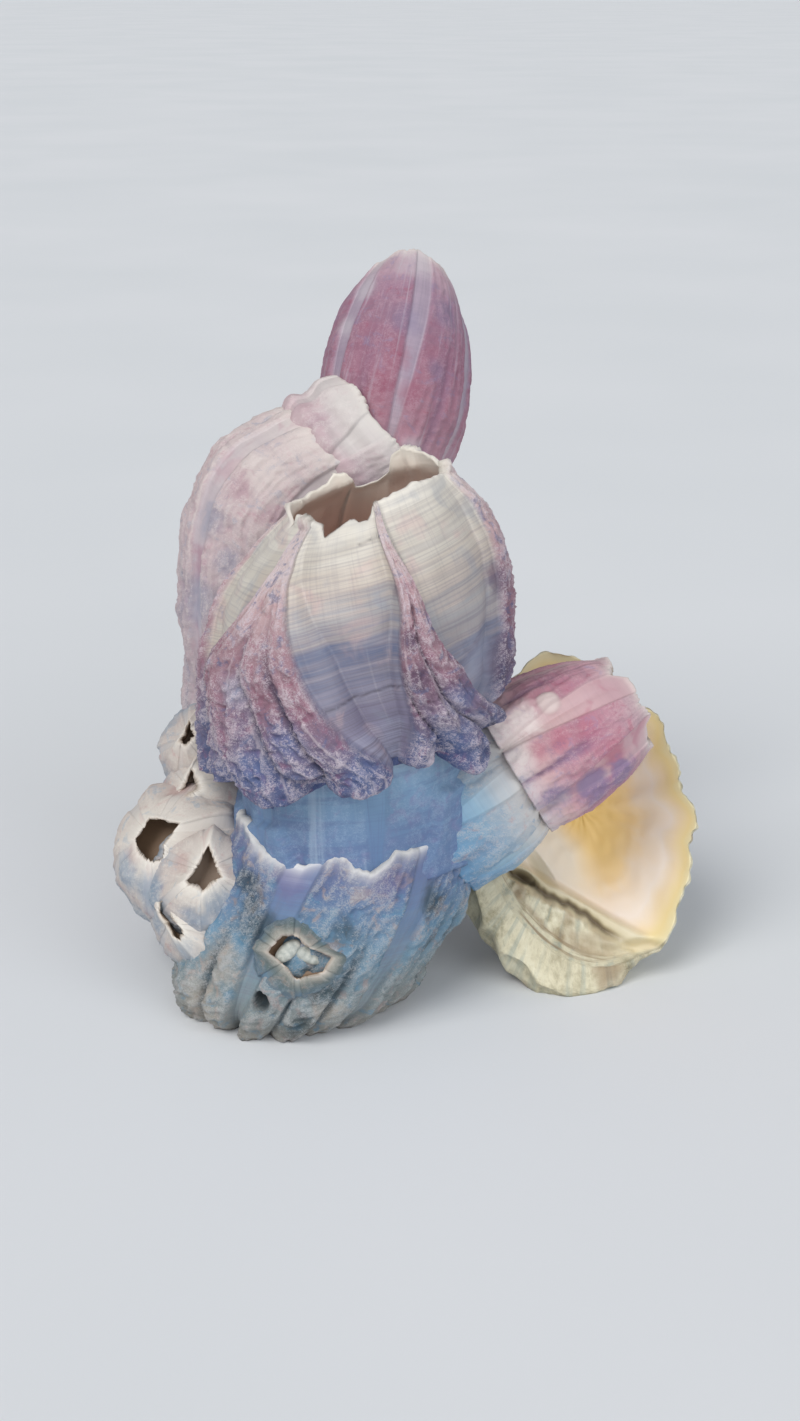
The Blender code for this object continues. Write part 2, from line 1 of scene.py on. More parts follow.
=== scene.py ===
"""The looks of the barnacle cluster: one dense mesh and one node-built material for each shell.

Every shell repeats the measures of its solid, in millimetres and degrees, and adds what the solid
leaves out: fibrous plates, growth lines, chipped rims, lips, pits and crusts. Angle 0 on a barnacle
looks to the front, -Y, and grows towards its right, +X. Height 0 is its foot and height 1 its mouth.
"""

import json
import math
from itertools import product

import bpy
import numpy as np
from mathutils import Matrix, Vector

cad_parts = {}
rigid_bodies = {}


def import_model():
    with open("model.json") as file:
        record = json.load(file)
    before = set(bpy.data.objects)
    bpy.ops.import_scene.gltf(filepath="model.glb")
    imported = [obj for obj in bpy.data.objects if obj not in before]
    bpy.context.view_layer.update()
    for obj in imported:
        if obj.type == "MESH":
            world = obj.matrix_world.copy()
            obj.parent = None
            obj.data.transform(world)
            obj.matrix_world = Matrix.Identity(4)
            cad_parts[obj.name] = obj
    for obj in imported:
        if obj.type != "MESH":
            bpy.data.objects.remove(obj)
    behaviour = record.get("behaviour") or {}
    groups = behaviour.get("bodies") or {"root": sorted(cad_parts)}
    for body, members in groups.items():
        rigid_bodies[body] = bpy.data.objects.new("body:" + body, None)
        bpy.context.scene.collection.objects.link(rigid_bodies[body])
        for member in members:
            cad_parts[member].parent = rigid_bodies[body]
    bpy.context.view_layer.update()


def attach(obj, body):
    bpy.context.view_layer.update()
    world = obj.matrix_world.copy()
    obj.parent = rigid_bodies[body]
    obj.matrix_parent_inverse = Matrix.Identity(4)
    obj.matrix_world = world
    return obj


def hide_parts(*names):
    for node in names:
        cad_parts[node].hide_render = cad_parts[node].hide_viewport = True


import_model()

MM = 0.001
# The front barnacle's mouth tips this many degrees to the left.
LEAN = 17.5
# The stalk's outer layer stands out by this much.
LEDGE = 1.2
# Brings h**3 * (1 - h) to 1 where it is highest, at three quarters of the way up.
BOW_GAIN = 9.48


def hashed(i, j, k, seed):
    """A repeatable number from -1 to 1 for each cell of a lattice."""
    n = i * 374761393 + j * 668265263 + k * 1274126177 + seed * 974711
    n = (n ^ (n >> 13)) * 1103515245
    n = n ^ (n >> 16)
    return (n & 0xFFFF) / 32767.5 - 1.0


def cell_corners(eased):
    """The corners of a lattice cell, 0 or 1 along x, y and z, and each one's share in the points."""
    for corner in product((0, 1), repeat=3):
        x, y, z = (eased[..., n] if far else 1 - eased[..., n] for n, far in enumerate(corner))
        yield corner, x * y * z


def noise(points, cell, seed):
    """Smooth noise from -1 to 1, the same as that in the solids."""
    p = points / cell
    corner = np.floor(p).astype(np.int64)
    f = p - corner
    total = np.zeros(p.shape[:-1])
    for (a, b, c), share in cell_corners(f * f * (3 - 2 * f)):
        total += share * hashed(corner[..., 0] + a, corner[..., 1] + b, corner[..., 2] + c, seed)
    return total


dice = np.random.default_rng(7)
SHUFFLED = np.tile(dice.permutation(256), 2)
SLOPES = dice.normal(size=(256, 3))
SLOPES /= np.linalg.norm(SLOPES, axis=1, keepdims=True)


def swirl(points, cell, seed):
    """Gradient noise, about -1 to 1. The cell may differ along x, y and z."""
    p = points / np.asarray(cell, float) + seed * 17.31
    corner = np.floor(p).astype(np.int64)
    f = p - corner
    total = np.zeros(p.shape[:-1])
    for (a, b, c), share in cell_corners(f * f * f * (f * (f * 6 - 15) + 10)):
        n = SHUFFLED[(corner[..., 0] + a) & 255] + ((corner[..., 1] + b) & 255)
        n = SHUFFLED[SHUFFLED[n] + ((corner[..., 2] + c) & 255)]
        total += share * ((f - (a, b, c)) * SLOPES[n]).sum(axis=-1)
    return 1.7 * total


def ridges(points, cell, seed):
    """Noise from -1 to 1 with sharp crests."""
    return 1 - 2.4 * np.abs(swirl(points, cell, seed))


def unit(v):
    """The same direction with length 1."""
    v = np.asarray(v, float)
    return v / np.linalg.norm(v)


def turn(angle):
    """An angle brought to -180..180 degrees."""
    return (angle + 180.0) % 360.0 - 180.0


def bump(x):
    """1 in the middle, 0 from -1 outwards and from 1 outwards."""
    return np.maximum(0.0, 1.0 - x * x) ** 0.75


def step(x):
    """0 up to 0, 1 from 1 on and smooth between."""
    x = np.clip(x, 0.0, 1.0)
    return x * x * (3 - 2 * x)


def rounding(x):
    """A quarter circle: 1 at 0 and 0 from 1 on."""
    return 1 - np.sqrt(1 - (1 - np.clip(x, 0, 1)) ** 2)


def through(stops, x):
    """A smooth curve through (place, value) stops."""
    place, value = np.array(stops, float).T
    x = np.clip(x, place[0], place[-1])
    i = np.clip(np.searchsorted(place, x) - 1, 0, len(place) - 2)
    slope = np.gradient(value, place)
    span = place[i + 1] - place[i]
    u = (x - place[i]) / span
    a = value[i] * (2 * u**3 - 3 * u**2 + 1) + value[i + 1] * (3 * u**2 - 2 * u**3)
    return a + span * (slope[i] * (u**3 - 2 * u**2 + u) + slope[i + 1] * (u**3 - u**2))


def around(stops, angle):
    """A broken edge: straight lines through (angle, value) stops that close on themselves."""
    place, value = np.array(sorted(stops), float).T
    return np.interp(angle, place, value, period=360.0)


def polygon(corners, angle):
    """The distance to the sides of a polygon whose corners are (angle, distance)."""
    place, reach = np.array(sorted(corners), float).T
    place, reach = np.append(place, place[0] + 360.0), np.append(reach, reach[0])
    x, y = reach * np.cos(np.radians(place)), reach * np.sin(np.radians(place))
    wrapped = (angle - place[0]) % 360.0
    i = np.clip(np.searchsorted(place - place[0], wrapped, side="right") - 1, 0, len(place) - 2)
    c, s = np.cos(np.radians(angle)), np.sin(np.radians(angle))
    dx, dy = x[i + 1] - x[i], y[i + 1] - y[i]
    return (x[i] * dy - y[i] * dx) / (c * dy - s * dx)


class Lobe:
    """One rounded rib of a plate: its place across the plate (-1 to 1), half width, reach and hang.

    The place may be a list of (height, place) stops. A rib may end above the foot, in a free tip.
    """

    def __init__(self, place, width, reach, hang=0.0, end=None):
        self.place, self.width, self.reach, self.hang, self.end = place, width, reach, hang, end

    def profile(self, d, height):
        """1 on the rib's crest and 0 beside it."""
        place = self.place
        if isinstance(place, list):
            place = through(place, height)
        return bump((d - place) / (self.width * (1 + 1.3 * np.clip(height, 0, 1))))

    def relief(self, d, height):
        """How far the rib stands out."""
        low = 1 - np.clip(height, 0, 1)
        rib = self.reach * low**0.8 * self.profile(d, height)
        if self.end:
            rib = rib * step((height - self.end) / 0.025)
        return rib


def rise(height):
    """How far the plates' edges have moved from their angles at the foot to those at the mouth."""
    return 1 - (1 - np.clip(height, 0, 1)) ** 1.15


class Plate:
    """One paries: the angle of its middle at the mouth and at the foot, its half widths, its ribs.

    Where its edges aren't straight, they are lists of (height, angle) stops.
    """

    def __init__(self, top, foot, half_top, half_foot, lobes, thick, coarse=1.0, edges=None):
        self.top, self.foot, self.half_top, self.half_foot = top, foot, half_top, half_foot
        self.lobes, self.thick, self.coarse, self.stops = lobes, thick, coarse, edges

    def edges(self, height):
        """The angles of the plate's left and right edges."""
        if self.stops:
            return through(self.stops[0], height), through(self.stops[1], height)
        middle = self.foot + (self.top - self.foot) * rise(height)
        half = self.half_foot + (self.half_top - self.half_foot) * rise(height)
        return middle - half, middle + half

    def across(self, angle, height):
        """The place across the plate: -1 on its left edge, 1 on its right edge."""
        left, right = self.edges(height)
        return turn(angle - (left + right) / 2) / ((right - left) / 2)

    def relief(self, angle, height):
        """How far the plate stands out, how near a rib's crest each point is and how deep in a groove."""
        d = self.across(angle, height)
        low = 1 - np.clip(height, 0, 1)
        edge = self.thick * (0.35 + 0.65 * low**0.6) * step((1 - np.abs(d)) / 0.1)
        ribs = np.sort([lobe.relief(d, height) for lobe in self.lobes] + [0 * d - 9], axis=0)
        groove = np.exp(-(((ribs[-1] - ribs[-2]) / 0.4) ** 2)) * step(ribs[-1] / 0.8)
        groove = groove * step((0.75 - height) / 0.35)
        crown = np.max([lobe.profile(d, height) for lobe in self.lobes], axis=0)
        inside = step((1 - np.abs(d)) / 0.06)
        return edge + ribs[-1], crown * inside, groove * inside

    def hang(self, angle):
        """How far the ribs reach down past the foot."""
        d = self.across(angle, 0.0)
        return sum(lobe.hang * lobe.profile(d, 0.0) for lobe in self.lobes)


def even_plates(turned, reach, half_top, thick, lobes=2, twist=0.0):
    """Six like plates, each with a few ribs, for the barnacles that the front one hides in part."""
    plates = []
    for n in range(6):
        middle = turned + 60.0 * n
        ribs = [
            Lobe(-1 + (2 * k + 1) / lobes, 1.1 / lobes, reach * (1.0 - 0.25 * ((n + k) % 3)))
            for k in range(lobes)
        ]
        plates.append(Plate(middle, middle + twist, half_top, 29.0, ribs, thick))
    return plates


def broken_rim(teeth, height, seed):
    """Stops of a chipped mouth edge, with teeth of uneven height."""
    rng = np.random.default_rng(seed)
    angles = (np.arange(teeth) + 0.35 * rng.uniform(-1, 1, teeth)) * 360.0 / teeth - 180.0
    return list(zip(angles, height * rng.uniform(-1, 1, teeth)))


class Barnacle:
    """A hollow plated wall from a foot point to a mouth point."""

    GROOVE_DEPTH, CRACK_WIDTH, LIP_WIDTH = 0.7, 0.16, 0.9
    FOOT_ROUNDING, RIM_ROUNDING, FRINGE_SHIFT = 1.3, 0.5, 0.1865
    # Columns on the radii between the plates lie this far across, which is off every plate.
    OFF_PLATE = 3.0

    def __init__(
        self, name, foot, mouth, girth, plates, rim, wall, depth, *, rough, seed, spacing, skin,
        grain=5.0, chips=0.3, face=(0, -1, 0), bow=(0, 0, 0), foot_normal=None, mouth_normal=None,
        opening=None, ledge=None, undercut=None, fringe=None, knobs=(), cracks=(), tones=(), stains=(),
    ):
        self.name, self.girth, self.plates, self.rim, self.wall = name, girth, plates, rim, wall
        self.foot, self.mouth = np.array(foot, float), np.array(mouth, float)
        self.length = np.linalg.norm(self.mouth - self.foot)
        self.depth = depth
        axis = unit(self.mouth - self.foot)
        self.foot_normal = axis if foot_normal is None else unit(foot_normal)
        self.mouth_normal = axis if mouth_normal is None else unit(mouth_normal)
        self.face, self.bow = unit(face), np.array(bow, float)
        self.rough, self.grain, self.skin, self.chips = rough, grain, skin, chips
        self.seed, self.spacing = seed, spacing
        self.opening, self.ledge, self.undercut, self.fringe = opening, ledge, undercut, fringe
        self.knobs, self.cracks, self.tones, self.stains = knobs, cracks, tones, stains
        self.set_columns()

    def set_columns(self):
        """Columns of points that follow the plates' edges: each one's section and its share of it."""
        wide = max(radius for _, radius in self.girth) + 2.0
        self.sections, across, start = [], [], 0
        for n, plate in enumerate(self.plates):
            spacing = math.degrees(self.spacing * plate.coarse / wide)
            for right in (False, True):
                arc = max(abs(np.subtract(*self.section_edges(n, right, h))) for h in (0.0, 0.5, 0.9))
                count = max(4, round(float(arc) / spacing))
                share = np.linspace(0, 1, count) if not right else np.linspace(0, 1, count + 2)[1:-1]
                self.sections.append((n, right, slice(start, start + count), share))
                across.append(np.full(count, self.OFF_PLATE) if right else 2 * share - 1)
                start += count
        self.across = np.concatenate(across)
        self.foot_angles, self.top_angles = self.angles(np.zeros(1)), self.angles(np.ones(1))
        self.middle_angles = self.angles(np.full(1, 0.4))

    def section_edges(self, n, right, height):
        """The two sides of a plate, or of the radius to the right of it."""
        left_edge, right_edge = self.plates[n].edges(height)
        if not right:
            return left_edge, right_edge
        last = n == len(self.plates) - 1
        after = self.plates[(n + 1) % len(self.plates)].edges(height)[0]
        return right_edge, after + (360.0 if last else 0.0)

    def angles(self, height):
        """The angle of every column at these heights."""
        height = np.clip(height, 0, 1)
        height = np.broadcast_to(height, (*height.shape[:-1], len(self.across)))
        angle = np.empty(height.shape)
        for n, right, columns, share in self.sections:
            start, end = self.section_edges(n, right, height[..., columns])
            angle[..., columns] = start + (end - start) * share
        return angle

    def place(self, height, angle, radius):
        """World points at these heights, angles and radii."""
        height, angle, radius = np.broadcast_arrays(height, angle, radius)
        h = np.clip(height, 0, 1)[..., None]
        normal = self.foot_normal * (1 - h) + self.mouth_normal * h
        normal /= np.linalg.norm(normal, axis=-1, keepdims=True)
        front = self.face - normal * (normal @ self.face)[..., None]
        front /= np.linalg.norm(front, axis=-1, keepdims=True)
        side = np.cross(normal, front)
        centre = self.foot + (self.mouth - self.foot) * h + self.bow * BOW_GAIN * h**3 * (1 - h)
        centre = centre + normal * ((height[..., None] - h) * self.length)
        a = np.radians(angle)[..., None]
        return centre + radius[..., None] * (np.cos(a) * front + np.sin(a) * side)

    def girth_at(self, height, angle):
        """The plain wall's radius, drawn towards the opening's outline near the mouth."""
        girth = through(self.girth, height)
        if not self.opening:
            return girth
        shape = polygon(self.opening, angle) / self.girth[-1][1]
        return girth * (1 + (shape - 1) * step((height - 0.35) / 0.6))

    def flow(self, height):
        """A place on the shell that is the same along each column but for its height, in millimetres."""
        a = np.radians(self.middle_angles)
        around_it = self.girth[0][1] + 3.0
        height, a = np.broadcast_arrays(height, a)
        return np.stack([around_it * np.cos(a), around_it * np.sin(a), height * self.length], axis=-1)

    def fine(self, height, where, crown):
        """The fine relief, how much of a crest each point is, and 1 on the plates."""
        flow = self.flow(height)
        low = 1 - np.clip(height, 0, 1)
        on_plate = step((1 - np.abs(self.across)) / 0.08) + 0 * flow[..., 0]
        bent = flow + swirl(flow, 4.5, self.seed)[..., None] * (0.9, 0.9, 1.8)
        strands = ridges(bent, (1.5, 1.5, 9.0), self.seed + 2)
        sagging = where + swirl(where, 3.2, self.seed + 8)[..., None] * 1.1
        sagging[..., 2] += 3.0 * crown
        wrinkles = ridges(sagging, (3.4, 3.4, 1.25), self.seed + 3)
        grains = ridges(where, (0.95, 0.95, 0.75), self.seed + 4)
        lumps = swirl(where, (3.6, 3.6, 5.0), self.seed + 5)
        long, short = self.skin
        rough = long * (0.6 * strands + 0.6 * lumps) + short * (0.9 * wrinkles + 0.4 * grains)
        bands = 0.09 * swirl(flow, (26, 26, 1.9), self.seed + 6)
        bands = bands + 0.05 * swirl(flow, (15, 15, 0.7), self.seed + 7)
        relief = on_plate * rough * (0.35 + 0.65 * low) + (1 - on_plate) * bands
        crest = 0.5 + 0.16 * strands + 0.15 * wrinkles + 0.1 * grains + 0.08 * lumps
        return relief, np.clip(crest, 0, 1), on_plate

    def tone(self, angle, height):
        """How far up the radii's palette each point is: its height, raised in the paler sectors."""
        tone = np.clip(height, 0, 1)
        for start, end, gain in self.tones:
            inside = step(turn(angle - start) / 4) * step(turn(end - angle) / 4)
            tone = tone + inside * (1 - tone) * (1 - gain)
        return tone

    def outer(self, height):
        """The outside's radius, and what the material reads at each point."""
        angle = self.angles(height)
        radius = self.girth_at(height, angle)
        ribs, crown, groove = (sum(part) for part in zip(*[p.relief(angle, height) for p in self.plates]))
        radius = radius + ribs - self.GROOVE_DEPTH * groove * (1 - np.clip(height, 0, 1))
        if self.ledge:
            edge = around(self.ledge, angle) / self.length
            edge = edge + 0.4 / self.length * swirl(self.flow(height), 2.5, 40)
            radius = radius + LEDGE * step((edge - height) * self.length / 0.7)
        where = self.place(height, angle, radius)
        radius = radius + self.rough * noise(where, self.grain, self.seed)
        relief, crest, on_plate = self.fine(height, where, crown)
        radius = radius + relief
        knob = np.zeros_like(radius)
        for point, size, lift in self.knobs:
            apart = np.linalg.norm(where - np.array(point, float), axis=-1) / size
            radius = radius + lift * bump(apart)
            knob = np.maximum(knob, step((1.1 - apart) / 0.4))
        crack = np.zeros_like(radius)
        for start, end, level, slant, depth in self.cracks:
            share = turn(angle - start) / (end - start)
            line = level + slant * (share - 0.5) + 0.004 * swirl(self.flow(height), 3.0, 50)
            near = np.exp(-(((height - line) * self.length / self.CRACK_WIDTH) ** 2))
            near = near * step(share / 0.08) * step((1 - share) / 0.08)
            radius = radius - depth * near
            crack = np.maximum(crack, near)
        marks = dict(plate=on_plate, height=np.clip(height, 0, 1), crest=crest, groove=groove, crown=crown)
        marks.update(tone=self.tone(angle, height), knob=knob, crack=crack)
        for n, spots in enumerate(self.stains):
            apart = [np.linalg.norm((where - np.array(point)) / size, axis=-1) for point, size in spots]
            marks[f"stain{n}"] = np.exp(-((np.min(apart, axis=0) / 1.25) ** 2))
        return radius, marks

    def grid(self):
        """Rows of points up the outside, over the rim and down into the cup, and the ends' points."""
        flow = self.flow(np.zeros(1))
        hang = sum(plate.hang(self.foot_angles) for plate in self.plates)
        ragged = 0.5 * self.skin[0] * (swirl(flow, 1.3, 60) + ridges(flow, 2.6, 61))
        low = -(hang + np.where(hang > 0.3, ragged, 0)) / self.length
        chip = self.chips * (swirl(flow, 1.1, 62) + 0.8 * ridges(flow, 2.9, 63))
        high = 1.0 + (around(self.rim, self.top_angles) + chip) / self.length
        outside, radius = self.outside_rows(low, high)
        parts = [outside, self.cup_rows(high, radius[-1])]
        if self.undercut:
            parts.insert(0, self.underside_rows(low, radius[0]))
        ends = [
            self.place(np.array(height), np.array(0.0), np.array(0.0))
            for height in (parts[0][2].mean(), 1.0 - self.depth)
        ]
        return [(points, marks, self.flow(height)) for points, marks, height in parts], ends

    def outside_rows(self, low, high):
        """The outside from its lower edge to its rim, with both edges rounded."""
        rows = max(12, round(1.15 * self.length / self.spacing))
        height = low + (high - low) * np.linspace(0, 1, rows)[:, None]
        radius, marks = self.outer(height)
        from_foot = (height - low) * self.length
        if self.undercut:
            radius = radius - rounding(from_foot / self.FOOT_ROUNDING)
        from_rim = (high - height) * self.length
        radius = radius - 0.25 * rounding(from_rim / self.RIM_ROUNDING)
        marks["lip"] = np.exp(-from_rim / self.LIP_WIDTH)
        return (self.place(height, self.angles(height), radius), marks, height), radius

    def cup_rows(self, high, rim_radius):
        """The inside from the rim down to the cup's floor."""
        count = max(6, round(self.depth * self.length / self.spacing / 1.3))
        s = np.linspace(0, 1, count)[:, None] ** 1.1
        height = high + (1.0 - self.depth - high) * s
        thick = self.wall * (1 + 1.2 * s)
        inside = np.maximum(self.girth_at(height, self.top_angles) - thick, 0.6)
        fold = sum(step((1.4 - np.abs(p.across(self.top_angles, 1.0))) / 1.2) for p in self.plates)
        inside = inside - 0.25 * fold + 0.2 * swirl(self.flow(height), (6, 6, 2.5), 64)
        inside = np.minimum(inside, rim_radius - 0.3 + 12 * s) * (1 - 0.25 * (s == 1.0))
        marks = dict(inner=np.ones_like(inside), depth=s + 0 * inside, lip=np.exp(-s * 18) + 0 * inside)
        return self.place(height, self.top_angles, inside), marks, height

    def underside_rows(self, low, lip):
        """The hollow under a skirt, with a shorter fringe behind its lip."""
        radius, lift = self.undercut
        hang = around(self.fringe, self.foot_angles) + self.FRINGE_SHIFT
        # Each row's radius, or how far it lies behind the lip, its level and its mark as a crest.
        stations = [
            (radius, np.full_like(low, lift), 0.3), (radius + 1.2, 0.8 - hang * 0.6, 0.3),
            (radius + 1.9, -hang + 0.2, 0.5), (radius + 2.3, -hang, 0.5),
            (radius + 2.7, -hang + 0.25, 0.5), (radius + 2.9, 1.0 - hang * 0.5, 0.3),
            (lip - 1.3, 0.7 * low * self.length + 0.5, 0.3), (lip - 0.5, low * self.length + 0.1, 0.3),
        ]
        height = np.array([np.broadcast_to(level, low.shape) / self.length for _, level, _ in stations])
        radius = np.array([np.broadcast_to(reach, lip.shape) for reach, _, _ in stations])
        crest = np.array([np.full_like(lip, crest) for _, _, crest in stations])
        relief = 0.3 * swirl(self.place(height, self.foot_angles, radius), 1.2, 66)
        points = self.place(height, self.foot_angles, radius + relief)
        return points, dict(plate=np.ones_like(radius), crest=crest + 0.2 * relief), height


def closed_grid(name, parts, ends):
    """A closed mesh from rows of points that join end to end, with a point at either end.

    Each part holds its points, its marks, where one that is missing counts as 0, and its flow.
    """
    points = np.concatenate([part[0] for part in parts])
    rows, columns = points.shape[:2]
    index = np.arange(rows * columns).reshape(rows, columns)
    after = np.roll(index, -1, axis=1)
    quads = np.stack([index[:-1], after[:-1], after[1:], index[1:]], axis=-1).reshape(-1, 4)
    first, last = rows * columns, rows * columns + 1
    fans = [(first, b, a) for a, b in zip(index[0], after[0])]
    fans += [(last, a, b) for a, b in zip(index[-1], after[-1])]
    corners = np.concatenate([points.reshape(-1, 3), np.array(ends).reshape(2, 3)]) * MM
    corners[:, 2] = np.maximum(corners[:, 2], 0)
    mesh = bpy.data.meshes.new(name)
    mesh.from_pydata(corners.tolist(), [], [*quads.tolist(), *fans])
    for key in sorted({key for part in parts for key in part[1]}):
        value = np.concatenate([part[1].get(key, np.zeros(part[0].shape[:2])) for part in parts])
        value = np.append(value.ravel(), (value[0].mean(), value[-1].mean()))
        mesh.attributes.new(key, "FLOAT", "POINT").data.foreach_set("value", value.astype(np.float32))
    flow = np.concatenate([part[2] for part in parts])
    flow = np.concatenate([flow.reshape(-1, 3), [flow[0].mean(axis=0), flow[-1].mean(axis=0)]])
    layer = mesh.attributes.new("flow", "FLOAT_VECTOR", "POINT")
    layer.data.foreach_set("vector", flow.ravel().astype(np.float32))
    mesh.shade_smooth()
    return mesh


def put(node, ending, parts, ends, material, slot):
    """Shows a closed mesh in place of a solid."""
    mesh = closed_grid(node + ending, parts, ends)
    thing = bpy.data.objects.new(node + ending, mesh)
    bpy.context.scene.collection.objects.link(thing)
    mesh.materials.append(material)
    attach(thing, "root")
    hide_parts(node)


def rgb(text):
    """A colour from its screen value, such as "c8b0a0"."""
    parts = [int(text[i : i + 2], 16) / 255 for i in (0, 2, 4)]
    return (*[c / 12.92 if c < 0.04045 else ((c + 0.055) / 1.055) ** 2.4 for c in parts], 1.0)


class Look:
    """A material under construction. Most methods add nodes and return an output socket."""

    def __init__(self, name):
        self.material = bpy.data.materials.new(name)
        self.material.use_nodes = True
        self.tree = self.material.node_tree

    def feed(self, socket, value):
        """Links another node's output to a socket, or sets the socket to a value."""
        if isinstance(value, bpy.types.NodeSocket):
            self.tree.links.new(value, socket)
        else:
            socket.default_value = value

    def add(self, kind, sockets, **settings):
        node = self.tree.nodes.new(kind)
        for key, value in settings.items():
            setattr(node, key, value)
        for key, value in sockets.items():
            self.feed(node.inputs[key], value)
        return node

    def mark(self, name):
        """A mark on the mesh's points."""
        return self.add("ShaderNodeAttribute", {}, attribute_name=name).outputs["Fac"]

    def place(self, stretch):
        """The place on the piece in millimetres, stretched."""
        place = self.add("ShaderNodeTexCoord", {}).outputs["Object"]
        stretch = tuple(1000 * s for s in stretch)
        return self.add("ShaderNodeVectorMath", {0: place, 1: stretch}, operation="MULTIPLY").outputs[0]

    def flow(self, stretch):
        """The place along the shell's growth in millimetres, stretched."""
        place = self.add("ShaderNodeAttribute", {}, attribute_name="flow").outputs["Vector"]
        return self.add("ShaderNodeVectorMath", {0: place, 1: stretch}, operation="MULTIPLY").outputs[0]

    def noise(self, vector, detail=3.0, rough=0.55, distortion=0.0, scale=1.0):
        sockets = {"Vector": vector, "Scale": scale, "Detail": detail, "Roughness": rough}
        sockets["Distortion"] = distortion
        return self.add("ShaderNodeTexNoise", sockets).outputs["Fac"]

    def math(self, operation, a, b):
        return self.add("ShaderNodeMath", {0: a, 1: b}, operation=operation).outputs[0]

    def plus(self, a, b):
        return self.math("ADD", a, b)

    def times(self, a, b):
        return self.math("MULTIPLY", a, b)

    def swing(self, value, gain, middle=0.5):
        """What a value has over its middle, or lacks, times a gain."""
        return self.times(self.math("SUBTRACT", value, middle), gain)

    def span(self, value, start, end):
        """0 at the start, 1 at the end and smooth between."""
        sockets = {"Value": value, "From Min": start, "From Max": end}
        return self.add("ShaderNodeMapRange", sockets, interpolation_type="SMOOTHSTEP").outputs[0]

    def part(self, value, start, end, share):
        """0 at the start and the share at the end."""
        return self.times(self.span(value, start, end), share)

    def fade(self, mark, at_none, at_full):
        """A value that depends evenly on a mark."""
        sockets = {"Value": self.mark(mark), "To Min": at_none, "To Max": at_full}
        return self.add("ShaderNodeMapRange", sockets).outputs[0]

    def ramp(self, value, stops):
        node = self.add("ShaderNodeValToRGB", {"Fac": value})
        band = node.color_ramp.elements
        while len(band) < len(stops):
            band.new(0.5)
        for element, (position, colour) in zip(band, stops):
            element.position, element.color = position, rgb(colour)
        return node.outputs["Color"]

    def mix(self, share, below, above):
        """The share of one colour laid over another."""
        if isinstance(above, str):
            above = rgb(above)
        return self.add("ShaderNodeMix", {0: share, 6: below, 7: above}, data_type="RGBA").outputs[2]

    def bump(self, height, distance, strength, normal=None):
        sockets = {"Height": height, "Distance": distance * MM, "Strength": strength}
        if normal:
            sockets["Normal"] = normal
        return self.add("ShaderNodeBump", sockets).outputs["Normal"]

    def finish(self, colour, roughness, normal=None):
        """Feeds the shader and returns the material."""
        shader = self.tree.nodes["Principled BSDF"]
        self.feed(shader.inputs["Base Color"], colour)
        self.feed(shader.inputs["Roughness"], roughness)
        if normal:
            self.feed(shader.inputs["Normal"], normal)
        return self.material


